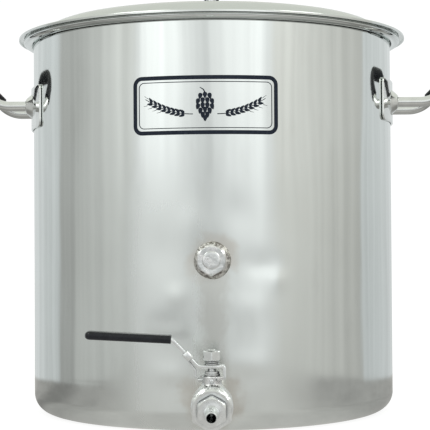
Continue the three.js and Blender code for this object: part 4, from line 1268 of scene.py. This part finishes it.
def sleeve():
    """Dipped vinyl: an oval tube that closes in a rounded nose."""
    run = np.array([TIP_X - HEAD_X, TIP_Z - HEAD_Z])
    unit = run / np.linalg.norm(run)
    end = float(SLEEVE_LOW[0])
    length = (end - HEAD_X) / unit[0]
    half_w, half_t = 8.5, 3.9
    nose = 5.5
    start = 1.0
    stations = [start + step for step in (-0.02, 0, 0.2, 0.5, 1.2, 2.4)]
    stations += list(np.linspace(start + 4, length - nose, 40))
    stations += [length - nose * math.cos(t) for t in np.linspace(0.12, math.pi / 2 - 0.02, 12)]
    points = [(HEAD_X + unit[0] * s, STEM_Y, HEAD_Z + unit[1] * s) for s in stations]

    def section(i, s):
        s = stations[i]
        shrink = 1.0
        if s > length - nose:
            t = (s - (length - nose)) / nose
            shrink = math.sqrt(max(1 - t ** 2.4, 0))
        w, t = half_w - (1 - shrink) * 6.5, half_t * (0.08 + 0.92 * shrink)
        if i == 0:
            w, t = half_w - 1.1, 1.6
        elif i == 1:
            w, t = half_w - 0.5, half_t - 0.45
        elif i == 2:
            w, t = half_w - 0.12, half_t - 0.12
        elif s < start + 3:
            w, t = half_w + 0.05, half_t + 0.05
        return rounded_rectangle(w, t, min(t * 0.92, 3.2), 7, 6, 2)[:, ::-1]

    verts, faces = sweep(points, section, up=(0, 1, 0))
    make("sleeve", verts, faces, VINYL, "lever", ["lever_sleeve"], 60)


def lock():
    """The sliding lock: a folded band round the ramp with a forked tab that drops over a pin."""
    travel, distance = 4.5, 9.6
    unit = np.array([-math.cos(RAMP), math.sin(RAMP)])
    middle = np.array([FOOT_X, PLATE_Z]) + unit * (distance + travel)
    normal = np.array([math.sin(RAMP), math.cos(RAMP)])
    half_w, half_t, wall = 9.15, 3.3, 1.3
    outer = rounded_rectangle(half_w, half_t, 1.5, 5, 4, 2)
    inner = rounded_rectangle(half_w - wall, half_t - wall - 0.15, 0.5, 5, 4, 2)
    rows = []
    for at, shape in ((-4, inner), (-4, outer * 0.985), (-3.7, outer), (3.7, outer), (4, outer * 0.985), (4, inner)):
        base = middle - unit * at
        x = base[0] + shape[:, 1] * normal[0]
        z = base[1] + shape[:, 1] * normal[1]
        rows.append(np.stack([x, STEM_Y + shape[:, 0], z], -1))
    band = (np.concatenate(rows), grid_faces(len(rows), len(outer), wrap_rows=True))
    shift = unit * travel
    knee = np.array([-11.9, DRAIN_AXIS + 29.6]) + shift
    heel = middle - normal * (half_t - 0.9)
    foot = np.array([knee[0], float(LOCK_LOW[2])])
    path = rounded_path([(x, STEM_Y, z) for x, z in (heel, knee, foot)], [3.0], 10)
    total = run_length(path)
    slot_at = total - 3.2
    halves = []
    for sign in (-1, 1):
        stations = list(np.linspace(0, slot_at, 16)) + list(np.linspace(slot_at + 0.01, total - 0.4, 5))
        points = along(path, stations + [total])

        def section(i, s, sign=sign):
            low, high = (0.0, 4.0) if s <= slot_at + 0.005 else (2.2, 4.0)
            high -= 0.5 if s > total - 0.3 else 0
            mid, half = (low + high) / 2, (high - low) / 2
            shape = rounded_rectangle(half, 0.9, 0.3, 3, 2, 1)
            return np.stack([shape[:, 1], sign * (shape[:, 0] + mid)], -1)

        halves.append(sweep(points, section, up=(0, 1, 0)))
    verts, faces = merge(band, *halves)
    make("lock_slider", verts, faces, MACHINED, "lock", ["lever_lock"], 30)


# ---------------------------------------------------------------- build the kettle

pot()
badge()
lid()
lid_handle()
side_handle("left")
side_handle("right")
coupling("upper_coupling", UPPER_AXIS, ["upper_port_coupling"])
coupling("lower_coupling", DRAIN_AXIS, ["drain_coupling"])
weld("upper_bead", UPPER_AXIS, 19.3, -float(UPPER_WELD_LOW[1]), ["upper_port_weld"], 4, 27)
weld("lower_bead", DRAIN_AXIS, 17.0, -float(DRAIN_WELD_LOW[1]), ["drain_weld"], 9, 25)
inner_weld("upper_inner_bead", UPPER_AXIS, 21)
inner_weld("lower_inner_bead", DRAIN_AXIS, 22)
upper_plug()
nipple = threaded(float(NIPPLE_HIGH[0]), 0.9, 1.81, -float(NIPPLE_HIGH[1]), -float(NIPPLE_LOW[1]), 7.6)
verts, faces = spin(nipple, 64, at_port(DRAIN_AXIS))
make("nipple", verts, faces, MACHINED, "kettle", ["drain_nipple"], 50)
valve_body()
lock_pins()
end_cap()
hose_barb()
small_valve_parts()
lever()
sleeve()
lock()

# Hidden inside the valve, these keep their CAD shape.
PLASTIC_RINGS = ("valve_body_seal", "ball_seat_rear", "ball_seat_front", "stem_packing", "stem_thrust_washer")
for node in (*PLASTIC_RINGS, "valve_ball"):
    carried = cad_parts[node]
    carried.data.materials.clear()
    carried.data.materials.append(POLISHED if node == "valve_ball" else PTFE)


# ---------------------------------------------------------------- floor, light and camera


def floor():
    """White paper for the lens. In the steel it shows as a painted reflection of a round grey cloth: a glowing disc,
    brighter in front and dimmer to the sides, that ends short of the flats.
    """
    rings = [0, 0.15, 0.3, 0.6, 1.2, 2.4, 5, 9]
    turn = np.arange(64) * TAU / 64
    verts = np.concatenate([np.stack([r * np.cos(turn), r * np.sin(turn), np.full(64, -0.0004)], -1) for r in rings])
    mesh = bpy.data.meshes.new("floor")
    mesh.from_pydata(verts.tolist(), [], grid_faces(len(rings), 64))
    f = Finish("pale_floor", (0.5, 0.5, 0.5), 0.0, 0.8)
    tree, link = f.tree, f.tree.links.new
    x, y = f.axes()[:2]
    seen = f.node("ShaderNodeBsdfDiffuse")
    seen.inputs["Color"].default_value = (0.25, 0.25, 0.25, 1)
    glow = f.node("ShaderNodeEmission")
    glow.inputs["Strength"].default_value = 0.86
    paper = f.node("ShaderNodeAddShader")
    link(seen.outputs[0], paper.inputs[0])
    link(glow.outputs[0], paper.inputs[1])
    reach = f.distance(x, f.plus(y, 0.17))
    ragged = f.plus(reach, f.wander(0.05, 3, 2, 0.5))
    beyond = f.ranged(ragged, 0.54, 0.61, 0, 1)
    # Painted light and shade: the glow that the steel reflects is brighter in front, dimmer to the sides and dimmer
    # still on the left, with a mottle.
    azimuth = f.math("ARCTAN2", x, f.math("MULTIPLY", y, -1.0))
    side = f.math("ABSOLUTE", azimuth)
    level = f.ranged(side, 0.35, 1.15, 0.58, 0.385)
    left_dip = f.math("ABSOLUTE", f.plus(azimuth, 1.55))
    level = f.minus(level, f.ranged(left_dip, 0.05, 0.35, 0.13, 0))
    level = f.math("ADD", level, f.ranged(side, 2.0, 2.6, 0, 0.14))
    cloth = f.ranged(f.noise(9, 6, 0.65), 0.3, 0.7, 0.86, 1.12, smooth=False)
    # This glow is painted light standing in for a lit table. Only reflections see it.
    table = f.node("ShaderNodeEmission")
    table.inputs["Color"].default_value = (1.0, 0.985, 0.94, 1)
    link(f.math("MULTIPLY", level, cloth), table.inputs["Strength"])
    open_air = f.node("ShaderNodeBsdfTransparent")
    mirrored = f.node("ShaderNodeMixShader")
    link(beyond, mirrored.inputs[0])
    link(table.outputs[0], mirrored.inputs[1])
    link(open_air.outputs[0], mirrored.inputs[2])
    chosen = f.node("ShaderNodeMixShader")
    link(f.node("ShaderNodeLightPath").outputs["Is Glossy Ray"], chosen.inputs[0])
    link(paper.outputs[0], chosen.inputs[1])
    link(mirrored.outputs[0], chosen.inputs[2])
    link(chosen.outputs[0], tree.nodes["Material Output"].inputs["Surface"])
    mesh.materials.append(f.material)
    ground = bpy.data.objects.new("floor", mesh)
    bpy.context.scene.collection.objects.link(ground)


# Studio flats round the kettle, by azimuth in degrees: 0 is in front of it, positive to its right.
# Each has its light at the level of the rim and at the level of the floor.
COOL, WARM, PLAIN, CREAM = (0.965, 1.0, 1.0), (0.99, 1.0, 0.965), (0.985, 1.0, 0.99), (1.0, 0.995, 0.945)
FLATS = [
    (-180, 0.80, 0.72, COOL), (-143, 0.745, 0.70, COOL), (-112, 0.725, 0.61, COOL),
    (-110.3, 0.48, 0.37, WARM), (-107.5, 0.51, 0.42, WARM),
    (-98.4, 0.515, 0.415, WARM), (-92.6, 0.50, 0.54, WARM), (-77, 0.61, 0.53, WARM),
    (-67.8, 0.715, 0.56, WARM), (-57.5, 0.83, 0.58, WARM),
    (-55.5, 0.755, 0.50, WARM), (-50.8, 0.84, 0.525, WARM), (-46.7, 0.915, 0.62, PLAIN),
    (-43.5, 1.185, 0.56, PLAIN), (-38.9, 1.27, 0.635, PLAIN),
    (-31.2, 1.34, 0.66, PLAIN), (-23.7, 1.22, 0.65, PLAIN), (-16.4, 1.03, 0.64, PLAIN),
    (-9.1, 0.905, 0.54, PLAIN), (-3.6, 0.865, 0.515, PLAIN),
    (1.8, 0.93, 0.555, PLAIN), (16.4, 1.205, 0.68, PLAIN),
    (31.3, 1.21, 0.79, PLAIN), (37.5, 0.98, 0.68, PLAIN), (41.5, 0.85, 0.60, CREAM),
    (50.9, 0.875, 0.61, CREAM), (63.6, 0.77, 0.605, CREAM), (82.4, 0.68, 0.56, CREAM),
    (101, 0.605, 0.505, CREAM), (106.5, 0.63, 0.50, CREAM),
    (108.5, 0.72, 0.60, COOL), (180, 0.78, 0.70, COOL),
]


def studio():
    world = bpy.data.worlds.new("studio")
    bpy.context.scene.world = world
    world.use_nodes = True
    tree = world.node_tree
    tree.nodes.clear()
    link = tree.links.new

    def node(kind, **settings):
        made = tree.nodes.new(kind)
        for key, value in settings.items():
            setattr(made, key, value)
        return made

    def math_node(operation, a, b=0.0):
        made = node("ShaderNodeMath", operation=operation)
        for socket, value in zip(made.inputs, (a, b)):
            if isinstance(value, bpy.types.NodeSocket):
                link(value, socket)
            else:
                socket.default_value = value
        return made.outputs[0]

    def ranged(value, low, high, to_low, to_high):
        made = node("ShaderNodeMapRange", interpolation_type="SMOOTHSTEP")
        link(value, made.inputs[0])
        for socket, number in zip(made.inputs[1:5], (low, high, to_low, to_high)):
            socket.default_value = number
        return made.outputs[0]

    split = node("ShaderNodeSeparateXYZ")
    link(node("ShaderNodeTexCoord").outputs["Generated"], split.inputs[0])
    x, y, z = split.outputs[:3]
    azimuth = math_node("ARCTAN2", x, math_node("MULTIPLY", y, -1.0))
    share = math_node("ADD", math_node("DIVIDE", azimuth, TAU), 0.5)
    colours = []
    for level in (1, 2):
        ramp = node("ShaderNodeValToRGB")
        link(share, ramp.inputs[0])
        stops = ramp.color_ramp.elements
        stops[0].position, stops[1].position = 0.0, 1.0
        for k, flat in enumerate(FLATS):
            at = (flat[0] + 180) / 360
            if k == 0:
                stop = stops[0]
            elif k == len(FLATS) - 1:
                stop = stops[len(stops) - 1]
            else:
                stop = stops.new(at)
            stop.color = (*[c * flat[level] for c in flat[3]], 1)
        colours.append(ramp.outputs[0])

    def mix(factor, a, b):
        made = node("ShaderNodeMix", data_type="RGBA")
        for socket, value in zip((made.inputs[0], made.inputs[6], made.inputs[7]), (factor, a, b)):
            if isinstance(value, bpy.types.NodeSocket):
                link(value, socket)
            elif isinstance(value, tuple):
                socket.default_value = (*value, 1)
            else:
                socket.default_value = value
        return made.outputs[2]

    # The flats hang in soft folds.
    cloth = node("ShaderNodeTexNoise", noise_dimensions="1D")
    link(azimuth, cloth.inputs["W"])
    cloth.inputs["Scale"].default_value = 9.0
    cloth.inputs["Detail"].default_value = 3.0
    folds = node("ShaderNodeMix", data_type="RGBA", blend_type="MULTIPLY")
    folds.inputs[0].default_value = 1.0
    link(mix(ranged(z, -0.10, 0.17, 0, 1), colours[1], colours[0]), folds.inputs[6])
    link(ranged(cloth.outputs[0], 0.30, 0.70, 0.94, 1.06), folds.inputs[7])
    side = folds.outputs[2]
    above = mix(ranged(z, 0.22, 0.50, 0, 1), side, (0.76, 0.78, 0.72))
    lit = mix(ranged(z, -0.45, -0.16, 1, 0), above, (0.26, 0.255, 0.24))
    shown = node("ShaderNodeBackground")
    link(lit, shown.inputs["Color"])
    shown.inputs["Strength"].default_value = 1.0
    white = node("ShaderNodeBackground")
    white.inputs["Color"].default_value = (1, 1, 1, 1)
    white.inputs["Strength"].default_value = 1.05
    chosen = node("ShaderNodeMixShader")
    link(node("ShaderNodeLightPath").outputs["Is Camera Ray"], chosen.inputs[0])
    link(shown.outputs[0], chosen.inputs[1])
    link(white.outputs[0], chosen.inputs[2])
    link(chosen.outputs[0], node("ShaderNodeOutputWorld").inputs["Surface"])


def softbox(name, place, target, size, power):
    light = bpy.data.lights.new(name, "AREA")
    light.shape, light.size, light.size_y, light.energy = "RECTANGLE", size[0], size[1], power
    lamp = bpy.data.objects.new(name, light)
    lamp.location = place
    lamp.rotation_mode = "QUATERNION"
    lamp.rotation_quaternion = (Vector(target) - Vector(place)).to_track_quat("-Z", "Y")
    bpy.context.scene.collection.objects.link(lamp)


def camera():
    distance, height, orbit = 1.460, 0.1898, math.radians(0.4)
    yaw, pitch, roll = (math.radians(a) for a in (0.1 - 0.4, 1.044, -0.368))
    forward = Vector((math.sin(yaw) * math.cos(pitch), math.cos(yaw) * math.cos(pitch), math.sin(pitch)))
    right = Vector((math.cos(yaw), -math.sin(yaw), 0))
    over = right.cross(forward)
    side = math.cos(roll) * right + math.sin(roll) * over
    up = math.cos(roll) * over - math.sin(roll) * right
    data = bpy.data.cameras.new("camera")
    data.lens, data.sensor_width = 108.04, 36.0
    data.clip_start, data.clip_end = 0.05, 100
    made = bpy.data.objects.new("camera", data)
    made.matrix_world = Matrix((side, up, -forward)).transposed().to_4x4()
    made.location = (distance * math.sin(orbit), -distance * math.cos(orbit), height)
    bpy.context.scene.collection.objects.link(made)
    bpy.context.scene.camera = made


floor()
studio()
softbox("key_left", (-1.5, -1.5, 2.0), (0, 0, 0.2), (1.2, 1.2), 12)
softbox("key_right", (1.7, -1.2, 1.8), (0, 0, 0.2), (1.0, 1.2), 9)
camera()
bpy.context.scene.view_settings.view_transform = "Standard"
